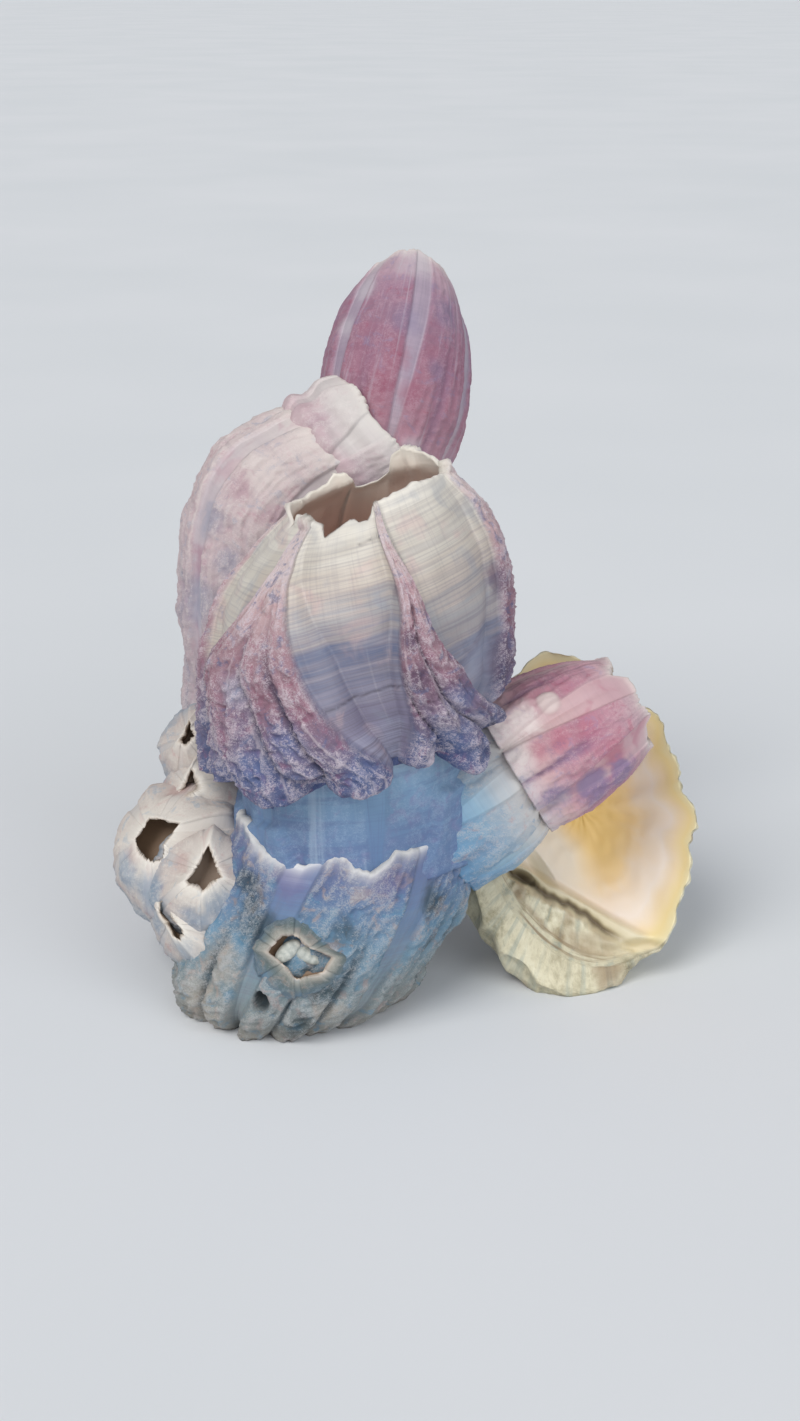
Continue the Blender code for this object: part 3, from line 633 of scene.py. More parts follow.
def shell_look(
    name, smooth, rough, inside, *, groove, groove_share, crest, crest_share, rough_patches,
    smooth_patches=(), stains=(), waver=0.22, lines=0.3, line_colour="77707f", threads=0.16,
    streaks=0.14, streak_colour="f2ece6", streak_scale=1.0, crown=0.0, rings=0.0, veins=0.0,
    vein_colour="c9bcc6", knob="e6dcd2", lip="e9e3da", lip_share=0.7, weave=0.35, grit=0.6,
):
    """A barnacle's finish: banded radii, fibrous plates with painted shade in their grooves and painted
    highlights on their rib crowns and on their crests, which are partly pale dust as well, stains, chipped
    lip and tinted cup.
    """
    look = Look(name)
    fine = look.noise(look.flow((0.05, 0.05, 3.2)), 2.0, 0.6)
    bands = look.noise(look.flow((0.04, 0.04, 0.75)), 3.0, 0.6)
    strands = look.noise(look.flow((3.2, 3.2, 0.12)), 1.0)
    columns = look.noise(look.flow((0.6, 0.6, 0.03)), scale=streak_scale)
    patches = look.noise(look.place((0.14, 0.14, 0.16)), 3.0, 0.55, 0.6)
    spots = look.noise(look.place((0.4, 0.4, 0.45)), 5.0, 0.62, 0.8)
    fuzz = look.noise(look.place((2.3, 2.3, 2.9)), 6.0, 0.72, 1.6)
    grains = look.noise(look.place((1.9, 1.9, 1.9)), 5.0, 0.7, 0.5)

    drift = look.swing(patches, 0.16)
    sway = look.plus(look.swing(bands, waver), look.times(drift, 0.5))
    plain = look.ramp(look.plus(look.mark("tone"), sway), smooth)
    for colour, start, end, share in smooth_patches:
        plain = look.mix(look.part(patches, start, end, share), plain, colour)
    growth = look.times(look.span(fine, 0.56, 0.36), look.fade("tone", 1.0, 0.22))
    plain = look.mix(look.times(growth, lines), plain, line_colour)
    plain = look.mix(look.part(strands, 0.5, 0.32, threads), plain, line_colour)
    plain = look.mix(look.part(columns, 0.6, 0.78, streaks), plain, streak_colour)
    plain = look.mix(look.times(look.mark("crack"), 0.6), plain, "3c3440")

    # Painted highlight: the crown gain moves the ribs' crowns up the plates' palette, so they read paler as
    # if lit.
    lit = look.swing(look.mark("crown"), crown, 0.6)
    plated = look.ramp(look.plus(look.mark("height"), look.plus(drift, lit)), rough)
    for colour, start, end, share in rough_patches:
        plated = look.mix(look.part(spots, start, end, share), plated, colour)
    plated = look.mix(look.part(bands, 0.52, 0.38, rings), plated, line_colour)
    plated = look.mix(look.part(columns, 0.54, 0.72, veins), plated, vein_colour)
    for n, (stain, share) in enumerate(stains):
        mottling = look.swing(look.times(look.plus(spots, patches), 0.5), 2.2)
        where = look.part(look.plus(look.mark(f"stain{n}"), mottling), 0.2, 0.95, share)
        plain = look.mix(where, plain, stain)
        plated = look.mix(where, plated, stain)

    relief = look.plus(look.swing(look.mark("crest"), 0.65), look.plus(look.swing(fuzz, 1.3), 0.5))
    # Painted shade: the groove colour darkens the lowest fibres and the grooves between the ribs.
    deep = look.part(relief, 0.45, 0.12, groove_share)
    deep = look.math("MAXIMUM", deep, look.times(look.mark("groove"), 0.85))
    plated = look.mix(deep, plated, groove)
    # Painted highlight, partly the fibres' own pale dust: the crest colour lightens the highest fibres.
    plated = look.mix(look.part(relief, 0.54, 0.8, crest_share), plated, crest)

    colour = look.mix(look.mark("plate"), plain, plated)
    colour = look.mix(look.times(look.mark("knob"), 0.9), colour, knob)
    colour = look.mix(look.times(look.mark("lip"), lip_share), colour, lip)
    cup = look.ramp(look.plus(look.mark("depth"), drift), inside)
    colour = look.mix(look.mark("inner"), colour, cup)

    normal = look.bump(look.plus(fine, look.times(strands, 0.6)), 0.12, weave)
    fibres = look.times(look.plus(grains, fuzz), look.mark("plate"))
    normal = look.bump(fibres, 0.5, grit, normal)
    return look.finish(colour, look.fade("plate", 0.42, 0.75), normal)


CUP = [(0.0, "f0e8dc"), (0.12, "efe0d2"), (0.4, "ebcfc1"), (0.7, "dfbbad"), (1.0, "b18f82")]
BROWN_CUP = [(0.0, "cdbba9"), (0.18, "a08a78"), (0.5, "79604f"), (1.0, "4a382f")]
SAND_CUP = [(0.0, "d3c4b4"), (0.15, "a8927d"), (0.5, "937a64"), (1.0, "846b55")]


def tilted(degrees):
    """A section's normal, tipped to the left."""
    return (-math.sin(math.radians(degrees)), 0.0, math.cos(math.radians(degrees)))


def front_barnacle():
    plates = [
        Plate(-112, -100, 8, 29, [Lobe(-0.45, 0.5, 3.4, 2.0), Lobe(0.45, 0.5, 3.6, 3.0)], 1.6, 1.1),
        Plate(-57, -29, 6, 41, [
            Lobe(-0.8, 0.27, 3.0, 1.5),
            Lobe([(0, -0.2), (0.2, -0.35), (0.4, -0.42), (1, -0.5)], 0.4, 4.6, 2.6),
            Lobe([(0, 0.22), (0.1, 0.3), (0.3, 0.38), (0.5, 0.42), (0.8, 0.2)], 0.3, 4.2, 1.0, end=0.03),
            Lobe([(0, 0.68), (0.2, 0.78), (0.5, 0.84), (1, 0.7)], 0.34, 4.8, 2.0),
        ], 1.5, 0.85, edges=(
            [(0, -70), (0.34, -71), (0.5, -73), (0.6, -66), (0.7, -56), (0.83, -48), (0.92, -47), (1, -52)],
            [(0, 18), (0.06, 12), (0.19, -1), (0.33, -10), (0.47, -17), (0.6, -22), (0.76, -29), (1, -41)],
        )),
        Plate(14, 45, 6, 26, [
            Lobe([(0, 0.1), (0.1, -0.1), (0.2, -0.35), (0.4, -0.5), (1, -0.5)], 0.4, 4.8, 4.0),
            Lobe([(0, 0.8), (0.2, 0.42), (0.4, 0.35), (1, 0.45)], 0.5, 5.0, -1.0, end=0.03),
            Lobe([(0, -0.7), (0.3, -0.88)], 0.25, 2.4, 0.4),
        ], 1.5, 0.85, edges=(
            [(0, 20), (0.11, 22.5), (0.21, 21), (0.33, 18), (0.48, 16), (0.62, 17), (0.79, 15), (1, 6)],
            [(0, 73), (0.08, 66), (0.2, 51), (0.37, 39), (0.54, 29), (0.65, 26), (0.77, 22), (1, 10)],
        )),
        Plate(84, 100, 8, 28, [Lobe(-0.5, 0.5, 2.8, -3.0), Lobe(0.5, 0.45, 2.6, -2.0)], 1.2, 1.2),
        Plate(142, 155, 7, 26, [Lobe(-0.4, 0.55, 2.6, 1.2), Lobe(0.45, 0.55, 3.2, 2.2)], 1.4, 1.6),
        Plate(198, 206, 7, 24, [Lobe(-0.45, 0.55, 3.0, 1.6), Lobe(0.45, 0.5, 2.6, 0.8)], 1.4, 1.6),
    ]
    rim = [
        (-100, 1.6), (-84, 1.2), (-72, -0.6), (-58, 1.6), (-48, 1.4), (-36, 0.2), (-26, -1.4), (-12, -0.2),
        (2, -1.0), (8, 1.4), (24, 1.6), (42, 1.6), (62, 0.8), (78, 0.2), (90, 1.6), (104, 0.2), (122, 1.6),
        (146, 3.0), (158, 2.2), (164, -0.4), (172, -1.4), (180, -1.6), (-172, -1.2), (-164, 1.6), (-156, 2.0),
        (-142, 1.0), (-124, 0.8), (-110, 1.2),
    ]
    fringe = [
        (-120, 1.5), (-85, 3.0), (-70, 5.0), (-58, 6.6), (-46, 6.2), (-36, 3.4), (-26, 3.4), (-16, 2.0),
        (-6, 0.6), (8, 0.3), (22, 0.6), (34, 1.0), (48, 1.0), (62, 1.4), (90, 0.5), (180, 1.5),
    ]
    return Barnacle(
        "front_barnacle", (0.7, 0, 42.0), (2.7, 0, 76.7),
        [(0, 17.8), (0.2, 19.2), (0.39, 20.0), (0.58, 19.9), (0.74, 18.4), (0.88, 15.4), (1, 11.8)],
        plates, rim, 0.8, 0.62, foot_normal=tilted(9.0), mouth_normal=tilted(LEAN), bow=(-0.9, 0, 0),
        rough=0.4, grain=3.5, seed=3, undercut=(15.0, 1.5), spacing=0.375, skin=(0.6, 0.5), fringe=fringe,
        tones=[(20, 90, 0.72), (-112, -60, 0.4)], chips=0.22,
        cracks=[(-12, 19, 0.335, 0.02, 0.16), (-2, 12, 0.915, 0.012, 0.08)],
        stains=[
            [((7.3, -19.0, 68.5), 1.0), ((8.6, -22.6, 62.5), 1.5), ((9.6, -23, 57), 2.0),
             ((21.5, -5.9, 54), 4.0), ((20, -5, 66), 2.4)],
            [((15.4, -20.7, 53.4), 2.4), ((14.8, -18.7, 46.9), 2.6), ((-8.2, -22.6, 48), 2.6),
             ((1.9, -24.8, 44.2), 2.2), ((-13.4, -19.1, 42.6), 2.6)],
            [((17.8, -9.4, 55.4), 4.0), ((18.6, -9.0, 50), 3.4), ((-15.3, -16.5, 53.4), 2.4)],
        ],
    )


def stalk_barnacle():
    outer_layer = [
        (-180, 12), (-95, 9), (-70, 6.5), (-52, 8.5), (-38, 9.5), (-28, 3), (-10, 0), (20, 0), (36, 4),
        (44, 12),
    ]
    return Barnacle(
        "stalk_barnacle", (1.2, 0.5, 24), (0.9, 0, 42.6),
        [(0, 16.4), (0.4, 16.6), (0.8, 16.6), (1, 16.8)],
        even_plates(-20, 0.8, lobes=3, half_top=24, thick=0.3), [(-180, 0), (0, 0)], 4.0, 0.1,
        mouth_normal=tilted(9.0), ledge=outer_layer, rough=0.25, seed=4, spacing=0.5, skin=(0.12, 0.06),
    )


def base_barnacle():
    rim = [
        (-160, 1.0), (-110, 1.5), (-75, 2.0), (-60, 2.2), (-48, 0.2), (-38, -1.2), (-22, -1.8), (-12, 0.2),
        (-4, 0.6), (2, -1.6), (10, -1.8), (18, 0.8), (34, 1.0), (60, 0.0), (90, 0.0), (130, 0.5), (165, 1.5),
    ]
    return Barnacle(
        "base_barnacle", (-10.0, -3.0, 0), (1.0, 1.0, 28.0),
        [(0, 13.0), (0.08, 15.4), (0.25, 17.2), (0.5, 18.2), (0.75, 18.4), (1, 18.2)],
        even_plates(8, 2.6, lobes=3, twist=-6, half_top=22, thick=0.8), rim, 0.9, 0.12,
        foot_normal=(0, 0, 1), mouth_normal=(0, 0, 1), rough=1.5, grain=7.0, seed=11, spacing=0.42,
        skin=(0.7, 0.45), chips=0.35,
        # Both knobs sink pits, which base_look colours nearly black as painted shade.
        knobs=[((-12.9, -20.9, 7.4), 1.7, -2.8), ((-0.2, -18.1, 19.4), 1.5, -2.4)],
        # The first stain's spots lie in hollows and gaps, where base_look paints shade.
        stains=[
            [((-13.3, -16.8, 17.1), 3.0), ((-3.5, -21.5, 10), 2.4), ((-14.4, -12.8, 22.6), 2.3),
             ((-1.0, -18.6, 18.2), 2.2), ((-13.8, -14.6, 19.6), 2.2), ((11.6, -14, 20.6), 2.4),
             ((-7.1, -21.5, 3.5), 2.6)],
            [((-18.7, -16.1, 12), 3.6), ((-21.6, -14.7, 5), 3.4), ((-3, -21, 6), 2.2)],
            [((5.3, -17.9, 25.4), 2.6), ((-8.5, -16, 24.4), 2.8)],
        ],
    )


def rear_barnacle():
    return Barnacle(
        "rear_barnacle", (-11, 25, 0), (-2.5, 38.0, 72.0),
        [(0, 11.6), (0.2, 13.6), (0.45, 14.8), (0.75, 14.6), (0.9, 13.2), (1, 11.8)],
        even_plates(-30, 2.2, twist=10, lobes=3, half_top=22, thick=0.9), broken_rim(20, 0.9, 8), 1.6, 0.07,
        foot_normal=(0, 0, 1), mouth_normal=(0.78, 0.22, 0.58), bow=(-9.5, 0, 3.0), rough=0.7, seed=17,
        spacing=0.45, skin=(0.9, 0.45),
        # The first stain's spots lie on the front left, where rear_look paints shade.
        stains=[
            [((-21.2, 25.4, 66.4), 3.0), ((-23, 23.8, 54), 4.0), ((-18.9, 20.8, 61.3), 2.4)],
            [((-14.2, 25.2, 74.4), 4.0), ((-8, 28, 78.4), 3.0)],
            [((-17.1, 24.6, 71.5), 2.0), ((-23.5, 25, 60), 2.2), ((-12, 22, 68), 2.0)],
        ],
    )


def collar_barnacle():
    axis = unit((0.78, 0.22, 0.58))
    mouth = np.array((4.0, 40.2, 77.2))
    return Barnacle(
        "collar_barnacle", mouth - 11.0 * axis, mouth,
        [(0, 10.4), (0.3, 12.0), (0.42, 11.2), (0.75, 11.8), (1, 11.0)],
        even_plates(10, 0.8, half_top=18, thick=0.4), broken_rim(18, 0.7, 4), 1.2, 0.2,
        face=(-0.55, -0.6, 0.55), rough=0.3, seed=23, spacing=0.42, skin=(0.3, 0.2),
        stains=[
            [((-0.4, 28.7, 79.8), 4.0), ((-2, 31, 83), 2.5)],
            [((-5.5, 30, 80.5), 1.6), ((-7, 33, 83.5), 1.6)],
        ],
    )


def top_barnacle():
    return Barnacle(
        "top_barnacle", (5.0, 42.0, 72.0), (8.8, 53.0, 99.4),
        [(0, 9.2), (0.22, 11.2), (0.45, 11.4), (0.68, 10.3), (0.86, 8.4), (1, 5.9)],
        even_plates(44, 0.9, twist=-18, half_top=21, thick=0.4), broken_rim(16, 0.9, 6), 0.9, 0.7,
        foot_normal=(0.25, 0.15, 1), mouth_normal=(0.1, 0.8, 0.6), rough=0.25, seed=29, spacing=0.38,
        skin=(0.3, 0.14),
        stains=[
            [((1.8, 44.8, 98.8), 2.2), ((-1.4, 42.8, 93.5), 2.0), ((9.4, 47.5, 102), 3.0),
             ((8.8, 32.8, 76), 1.8)],
            [((6.6, 37.2, 89.5), 2.2), ((4.2, 36.1, 86), 2.4), ((9, 35, 84), 2.0)],
            [((8.2, 39, 95), 2.2), ((14.7, 42.5, 94.9), 2.0), ((13.0, 37, 87.5), 1.6)],
        ],
    )


def side_root_barnacle():
    return Barnacle(
        "side_root_barnacle", (11.5, 1.0, 26.5), (24.5, 3.0, 35.0),
        [(0, 11.0), (0.5, 11.8), (0.85, 11.2), (1, 10.2)],
        even_plates(20, 0.9, half_top=20, thick=0.4), broken_rim(18, 0.9, 9), 1.2, 0.2,
        mouth_normal=(0.85, 0.12, 0.5), rough=0.5, seed=31, spacing=0.5, skin=(0.5, 0.25),
    )


def side_barnacle():
    return Barnacle(
        "side_barnacle", (24.0, 3.0, 34.6), (40.6, 8.0, 42.4),
        [(0, 9.8), (0.25, 10.2), (0.55, 9.9), (0.8, 9.1), (1, 7.8)],
        even_plates(-12, 1.5, twist=8, half_top=15, thick=0.6), broken_rim(18, 1.0, 12), 1.1, 0.68,
        foot_normal=(0.85, 0.12, 0.5), mouth_normal=(0.86, 0.34, 0.38), rough=0.35, seed=37, spacing=0.3,
        skin=(0.32, 0.22), knobs=[((28.8, -1.8, 46.2), 1.9, 0.7)],
        # The second stain's spots lie where the front barnacle shades this one; side_look paints them pale.
        stains=[
            [((34.7, -4.6, 42.3), 2.8), ((38, -2.7, 39), 2.8), ((30.5, -6.2, 42), 1.8),
             ((27, -6.5, 40.5), 1.5)],
            [((22, -6, 42), 3.4), ((20.5, -5, 45), 3.0), ((24, -6.5, 39), 2.6), ((25, -4.5, 44.5), 2.6)],
            [((35.9, -3.5, 33.8), 2.6), ((30, -7, 33.5), 2.6), ((40, -1, 35), 2.4)],
        ],
    )


def small_barnacle(name, mouth, axis, length, foot_radius, mouth_radius, seed, rough=0.8, **more):
    """A low white cone with a kite-shaped mouth."""
    axis, mouth = unit(axis), np.array(mouth, float)
    shoulder = mouth_radius + 0.62 * (foot_radius - mouth_radius)
    return Barnacle(
        name, mouth - length * axis, mouth,
        [(0, foot_radius), (0.4, foot_radius * 0.95), (0.75, shoulder), (1, mouth_radius + 0.6)],
        even_plates(15 * seed, 1.2, lobes=1, half_top=24, thick=0.3), broken_rim(6, 0.5, seed), 0.5, 0.34,
        rough=rough, grain=3.4, seed=seed, spacing=0.33, skin=(0.1, 0.2), chips=0.12, **more,
    )


def small_barnacles():
    down = dict(face=(0, -0.6, -0.8))
    pentagon = [(-92, 4.1), (-157, 3.9), (164, 3.4), (114, 4.7), (17, 3.4), (-13, 4.1), (-53, 3.8)]
    kite = [(175, 4.2), (-66, 3.2), (-4, 3.2), (76, 3.0)]
    slit = [(-140, 3.6), (-157, 3.5), (58, 3.2), (32, 3.4), (7, 2.4), (-110, 2.5)]
    narrow = [(175, 3.2), (-66, 2.2), (-4, 2.1), (76, 2.0)]
    wide = [(-100, 4.9), (-145, 4.3), (180, 3.6), (125, 2.9), (90, 5.4), (60, 4.4), (0, 3.6)]
    return [
        small_barnacle(
            "small_barnacle_left", (-28.6, -4.3, 26.1), (-0.38, -0.7, 0.6), 12.5, 11.0, 3.0, 1,
            opening=pentagon, **down, stains=[
                [((-30, -8.1, 18.5), 3.0), ((-33, -3, 20), 2.6)],
                [((-27.7, -8.1, 22.6), 1.5), ((-32, -4.3, 23.9), 1.6), ((-25.7, 3.1, 30.6), 2.0)],
            ],
        ),
        small_barnacle(
            "small_barnacle_middle", (-20.8, -12.0, 24.0), (0.0, -0.8, 0.6), 10.0, 7.9, 2.8, 2,
            opening=kite, rough=0.5, **down, stains=[
                [((-18.6, -13.4, 19.5), 2.4), ((-22.5, -13.4, 17), 2.8), ((-28.5, -8.5, 19), 2.4)],
                [((-18, -11.3, 24), 1.5), ((-25, -9, 24.2), 1.5), ((-20.5, -11, 28.5), 1.2)],
            ],
        ),
        small_barnacle(
            "small_barnacle_low", (-26.1, -12.0, 16.2), (-0.5, -0.78, 0.2), 9.0, 7.8, 2.3, 3,
            opening=slit, face=(0, -0.2, -1), rough=0.5, stains=[
                [((-24, -12, 12), 3.0), ((-29, -8, 14), 2.4)], [((-27.5, -9.5, 17.5), 1.2)],
            ],
        ),
        small_barnacle(
            "small_barnacle_high", (-24.6, 7, 37.8), (-0.4, -0.7, 0.6), 9.0, 7.2, 2.5, 4,
            opening=narrow, **down, stains=[
                [((-24, 4, 32), 2.0)], [((-22, 2, 40), 2.8), ((-26.5, 4, 36), 2.6), ((-25, 8, 41), 2.2)],
            ],
        ),
        small_barnacle(
            "small_barnacle_rear", (-24.2, 2, 31.6), (-0.35, -0.75, 0.55), 9.0, 7.0, 2.0, 5,
            opening=narrow, **down, stains=[[((-22, 0, 27.5), 2.0)], [((-20, -1, 32), 2.0)]],
        ),
        small_barnacle(
            "small_barnacle_front", (-7.2, -22.8, 15.8), (-0.05, -0.9, 0.42), 8.0, 5.7, 3.1, 6,
            opening=wide, face=(0, -0.4, -0.9), rough=0.35,
        ),
    ]


class Valve:
    """A deep jewel-box valve seen into its bowl: frilled oval margin, hinge shelf and swollen umbo."""

    HALF_LENGTH, HALF_WIDTH = 24.0, 15.8
    BOWL, BACK = 9.0, 15.0
    HINGE, SHELF = -132.0, 6.5
    UMBO_SHARE = [(0, 0), (0.3, 0.42), (0.52, 0.8), (0.7, 1.16), (0.84, 1.42), (0.94, 1.34), (1, 1.12)]
    UMBO_OUT = [(0, -15), (0.3, -14), (0.52, -12), (0.7, -7), (0.84, 0.5), (0.94, 4.4), (1, 3.2)]
    SEGMENTS, BACK_ROWS, BOWL_ROWS = 420, 90, 110

    def __init__(self, middle, up, facing):
        self.middle, self.up = np.array(middle, float), unit(up)
        facing = np.array(facing, float)
        self.facing = unit(facing - self.up * (facing @ self.up))
        self.right = np.cross(self.up, self.facing)
        self.angle = np.linspace(-180.0, 180.0, self.SEGMENTS, endpoint=False)
        self.reach = self.margin(self.angle)
        self.from_hinge = np.abs(turn(self.angle - self.HINGE))
        self.swollen = step((68 - self.from_hinge) / 52)

    def world(self, angle, radius, out):
        """World points at these angles and radii, and this far out towards the viewer."""
        angle, radius, out = np.broadcast_arrays(np.radians(angle), radius, out)
        along, across = radius * np.cos(angle), radius * np.sin(angle)
        return (
            self.middle
            + along[..., None] * self.up
            + across[..., None] * self.right
            + out[..., None] * self.facing
        )

    def margin(self, angle):
        """The margin's distance from the bowl's middle."""
        a = np.radians(angle)
        oval = 1 / np.hypot(np.cos(a) / self.HALF_LENGTH, np.sin(a) / self.HALF_WIDTH)
        frill = 0.55 * np.sin(7 * a) + 0.45 * np.sin(13 * a + 1.0)
        return oval + frill * step((np.abs(turn(angle - self.HINGE)) - 40) / 20)

    def flow(self, share):
        """A place on the valve by angle and by its share of the way out, in millimetres."""
        a = np.radians(self.angle)
        return np.stack(np.broadcast_arrays(20 * np.cos(a), 20 * np.sin(a), share), axis=-1)

    def back(self):
        """The outside from its middle out to the margin, swollen into the umbo at the hinge."""
        s = np.linspace(0.03, 1, self.BACK_ROWS)[:, None]
        swollen = self.swollen
        share = s + (through(self.UMBO_SHARE, s) - s) * swollen
        plain = -self.BACK * (1 - s**2.6) ** 0.7
        out = plain + (through(self.UMBO_OUT, s) - plain) * swollen
        flow = self.flow(40 * s)
        strands = ridges(flow, (1.6, 1.6, 14.0), 71) * (1 - 0.6 * swollen)
        scales = ridges(flow + swirl(flow, 6.0, 72)[..., None] * 1.5, (9.0, 9.0, 2.4), 73)
        scales = scales * (1 - 0.3 * swollen)
        coarse = ridges(flow + swirl(flow, 7.0, 75)[..., None] * 2.5, (5.5, 5.5, 6.0), 76) * swollen
        scale = (0.35 * strands + 0.5 * scales + 0.9 * coarse) * step((1 - s) / 0.08) * (0.4 + 0.6 * s)
        frayed = 0.5 * swirl(flow, (1.5, 1.5, 40), 81) * step((s - 0.8) / 0.2) * (1 - swollen)
        radius = self.reach * share + 0.5 * np.sin(s * 40) * (s < 1) + scale + frayed
        crest = np.clip(0.5 + 0.25 * strands + 0.2 * scales, 0, 1)
        marks = dict(outside=np.ones_like(radius), crest=crest, share=s + 0 * radius)
        return self.world(self.angle, radius, out), marks, flow

    def bowl(self):
        """The inside from the margin in to the bowl's middle, with the shelf and its cleft."""
        s = np.linspace(0.995, 0.02, self.BOWL_ROWS)[:, None]
        radius = self.reach * s
        to_hinge = np.radians(turn(self.angle - self.HINGE))
        past = radius * np.cos(to_hinge) - (self.margin(np.array(self.HINGE)) - self.SHELF)
        shelf = step(past / 1.6)
        flow = self.flow(20 * s)
        wander = 0.8 * swirl(flow, 5.0, 77) + 0.3 * swirl(flow, 1.6, 78)
        knoll = step((past - 3.3 + wander) / 1.1) * self.swollen
        level = -0.6 - 2.0 * step((s - 0.9) / 0.07) * (1 - knoll) + 2.6 * knoll
        out = -self.BOWL * (1 - s**2.4) * (1 - shelf) + level * shelf
        out = out + 0.15 * swirl(flow, (6, 6, 2.0), 74) + 0.35 * knoll * ridges(flow, 3.0, 79)
        cleft = np.exp(-(((past - 3.0 + wander) / 0.45) ** 2)) * step((50 - self.from_hinge) / 12)
        pit = bump(np.hypot(turn(self.angle + 122) / 9, (past - 2.6) / 1.1))
        hollow = bump(np.hypot(turn(self.angle + 126) / 20, (s - 0.66) / 0.075))
        out = out - 1.2 * cleft - 1.4 * pit - 0.7 * hollow
        plateau = step((82 - np.abs(turn(self.angle + 100))) / 34) * step((s - 0.12) / 0.25)
        out = out + 1.5 * plateau * step((0.9 - s) / 0.3) * (1 - shelf)
        marks = dict(share=s + 0 * radius, shelf=shelf, plateau=plateau, hollow=hollow)
        marks.update(cleft=np.maximum(cleft, pit), outside=knoll)
        marks["crest"] = np.clip(0.55 + 0.25 * ridges(flow, 1.8, 80), 0, 1)
        return self.world(self.angle, radius, out), marks, flow

    def grid(self):
        """Rows of points from the back's middle over the margin to the bowl's, and the ends' points."""
        ends = [self.world(np.array(0.0), np.array(0.0), np.array(-out)) for out in (self.BACK, self.BOWL)]
        return [self.back(), self.bowl()], ends


def valve_look():
    """A cream bowl that is orange in its depth, brightened as painted light, with painted shade in its cleft,
    pit and hollow, and a mottled grey and brown outside.
    """
    look = Look("valve_shell")
    patches = look.noise(look.flow((0.1, 0.1, 0.12)))
    fine = look.noise(look.flow((0.9, 0.9, 0.1)))
    grit = look.noise(look.flow((1.5, 1.5, 1.5)), 5.0, 0.7)
    # The bowl's cream and orange are paler than its own, painted light that offsets the side barnacle's
    # shadow.
    bowl = look.ramp(look.plus(look.mark("share"), look.swing(patches, 0.3)), [
        (0.0, "ffd984"), (0.3, "ffdb92"), (0.48, "fedfaa"), (0.6, "fbe8d0"), (0.74, "faeee2"),
        (0.84, "f6e2c0"), (0.93, "f2dea6"), (1.0, "f0e6be"),
    ])
    bowl = look.mix(look.times(look.mark("plateau"), 0.8), bowl, "fbf3e4")
    bowl = look.mix(look.mark("shelf"), bowl, "e3d8bb")
    shade = look.times(look.span(patches, 0.4, 0.65), look.mark("shelf"))
    bowl = look.mix(look.times(shade, 0.35), bowl, "c4b48c")
    # Painted shade: the shallow hollow on the shelf is coloured dull olive.
    bowl = look.mix(look.times(look.mark("hollow"), 0.6), bowl, "a89c70")
    mottled = look.plus(look.mark("crest"), look.swing(grit, 0.9))
    outside = look.ramp(mottled, [(0.0, "6a5a40"), (0.3, "aca386"), (0.6, "d9d1b4"), (1.0, "f1ebd2")])
    outside = look.mix(look.part(fine, 0.5, 0.72, 0.5), outside, "91a09a")
    outside = look.mix(look.part(patches, 0.52, 0.66, 0.65), outside, "826039")
    colour = look.mix(look.mark("outside"), bowl, outside)
    # Painted shade: the cleft and the pit beside it are coloured dark brown.
    colour = look.mix(look.times(look.mark("cleft"), 0.85), colour, "4e3a26")
    normal = look.bump(look.times(grit, look.mark("outside")), 0.4, 0.6)
    return look.finish(colour, 0.45, normal)


def lid(middle, facing, along, size):
    """One grey valve of a mouth's lid: a flattened ball with growth lines across it."""
    middle, facing, along = np.array(middle), unit(facing), np.array(along)
    along = unit(along - facing * (along @ facing))
    axes = np.array((size[0] * along, size[1] * np.cross(facing, along), size[2] * facing))
    lat = np.radians(np.linspace(-88, 88, 40))[:, None]
    lon = np.radians(np.linspace(0, 360, 60, endpoint=False))
    x, y = np.cos(lat) * np.cos(lon), np.cos(lat) * np.sin(lon)
    lines = np.sin(14 * x)
    z = np.sin(lat) * (1 + 0.02 * lines)
    points = middle + np.stack([x, y, z], axis=-1) @ axes
    crest = np.clip(0.55 + 0.08 * lines, 0, 1)
    return [(points, dict(crest=crest), points)], [middle - axes[2], middle + axes[2]]


def lid_look():
    """Grey with paler growth lines."""
    look = Look("lid_plate")
    grain = look.noise(look.flow((2.0, 2.0, 2.0)), 4.0)
    tone = look.plus(look.mark("crest"), look.swing(grain, 0.8))
    colour = look.ramp(tone, [(0.0, "6a6f6b"), (0.35, "9aa19d"), (0.7, "c3c6c0"), (1.0, "dbd9d0")])
    return look.finish(colour, 0.45, look.bump(grain, 0.15, 0.5))


def front_look():
    """Purple, fibrous plates beside grey radii with growth bands."""
    return shell_look(
        "front_shell",
        [
            (0.0, "85879f"), (0.1, "9c9bb0"), (0.18, "8c889f"), (0.26, "817b91"), (0.34, "8a8698"),
            (0.4, "73758c"), (0.45, "918c99"), (0.5, "666d87"), (0.55, "8c8a97"), (0.6, "a59c9d"),
            (0.68, "a3a0a2"), (0.74, "b9ada6"), (0.8, "c4b9ae"), (0.9, "cac3b9"), (1.0, "ddd7cd"),
        ],
        # The plates' palette, from blue violet at the foot to pink at the mouth; the blue at the foot is
        # partly painted blue shade.
        [
            (0.0, "4e5c8a"), (0.14, "62698e"), (0.3, "7f718b"), (0.5, "9b7686"), (0.7, "ab8791"),
            (0.86, "caabae"), (1.0, "dcc9c8"),
        ],
        CUP,
        smooth_patches=[("c7a8a5", 0.54, 0.7, 0.45), ("9099a8", 0.44, 0.32, 0.3)],
        rough_patches=[("a35f76", 0.52, 0.68, 0.45), ("5f7099", 0.47, 0.35, 0.6)],
        groove="463c55", groove_share=0.5, crest="dfd2da", crest_share=0.66, lines=0.8, threads=0.11,
        crown=0.32, veins=0.45, vein_colour="e0d2d8", streak_scale=2.2, streaks=0.08, waver=0.3,
        stains=[("574460", 0.7), ("5a73a6", 0.6), ("a3adc2", 0.5)],
    )


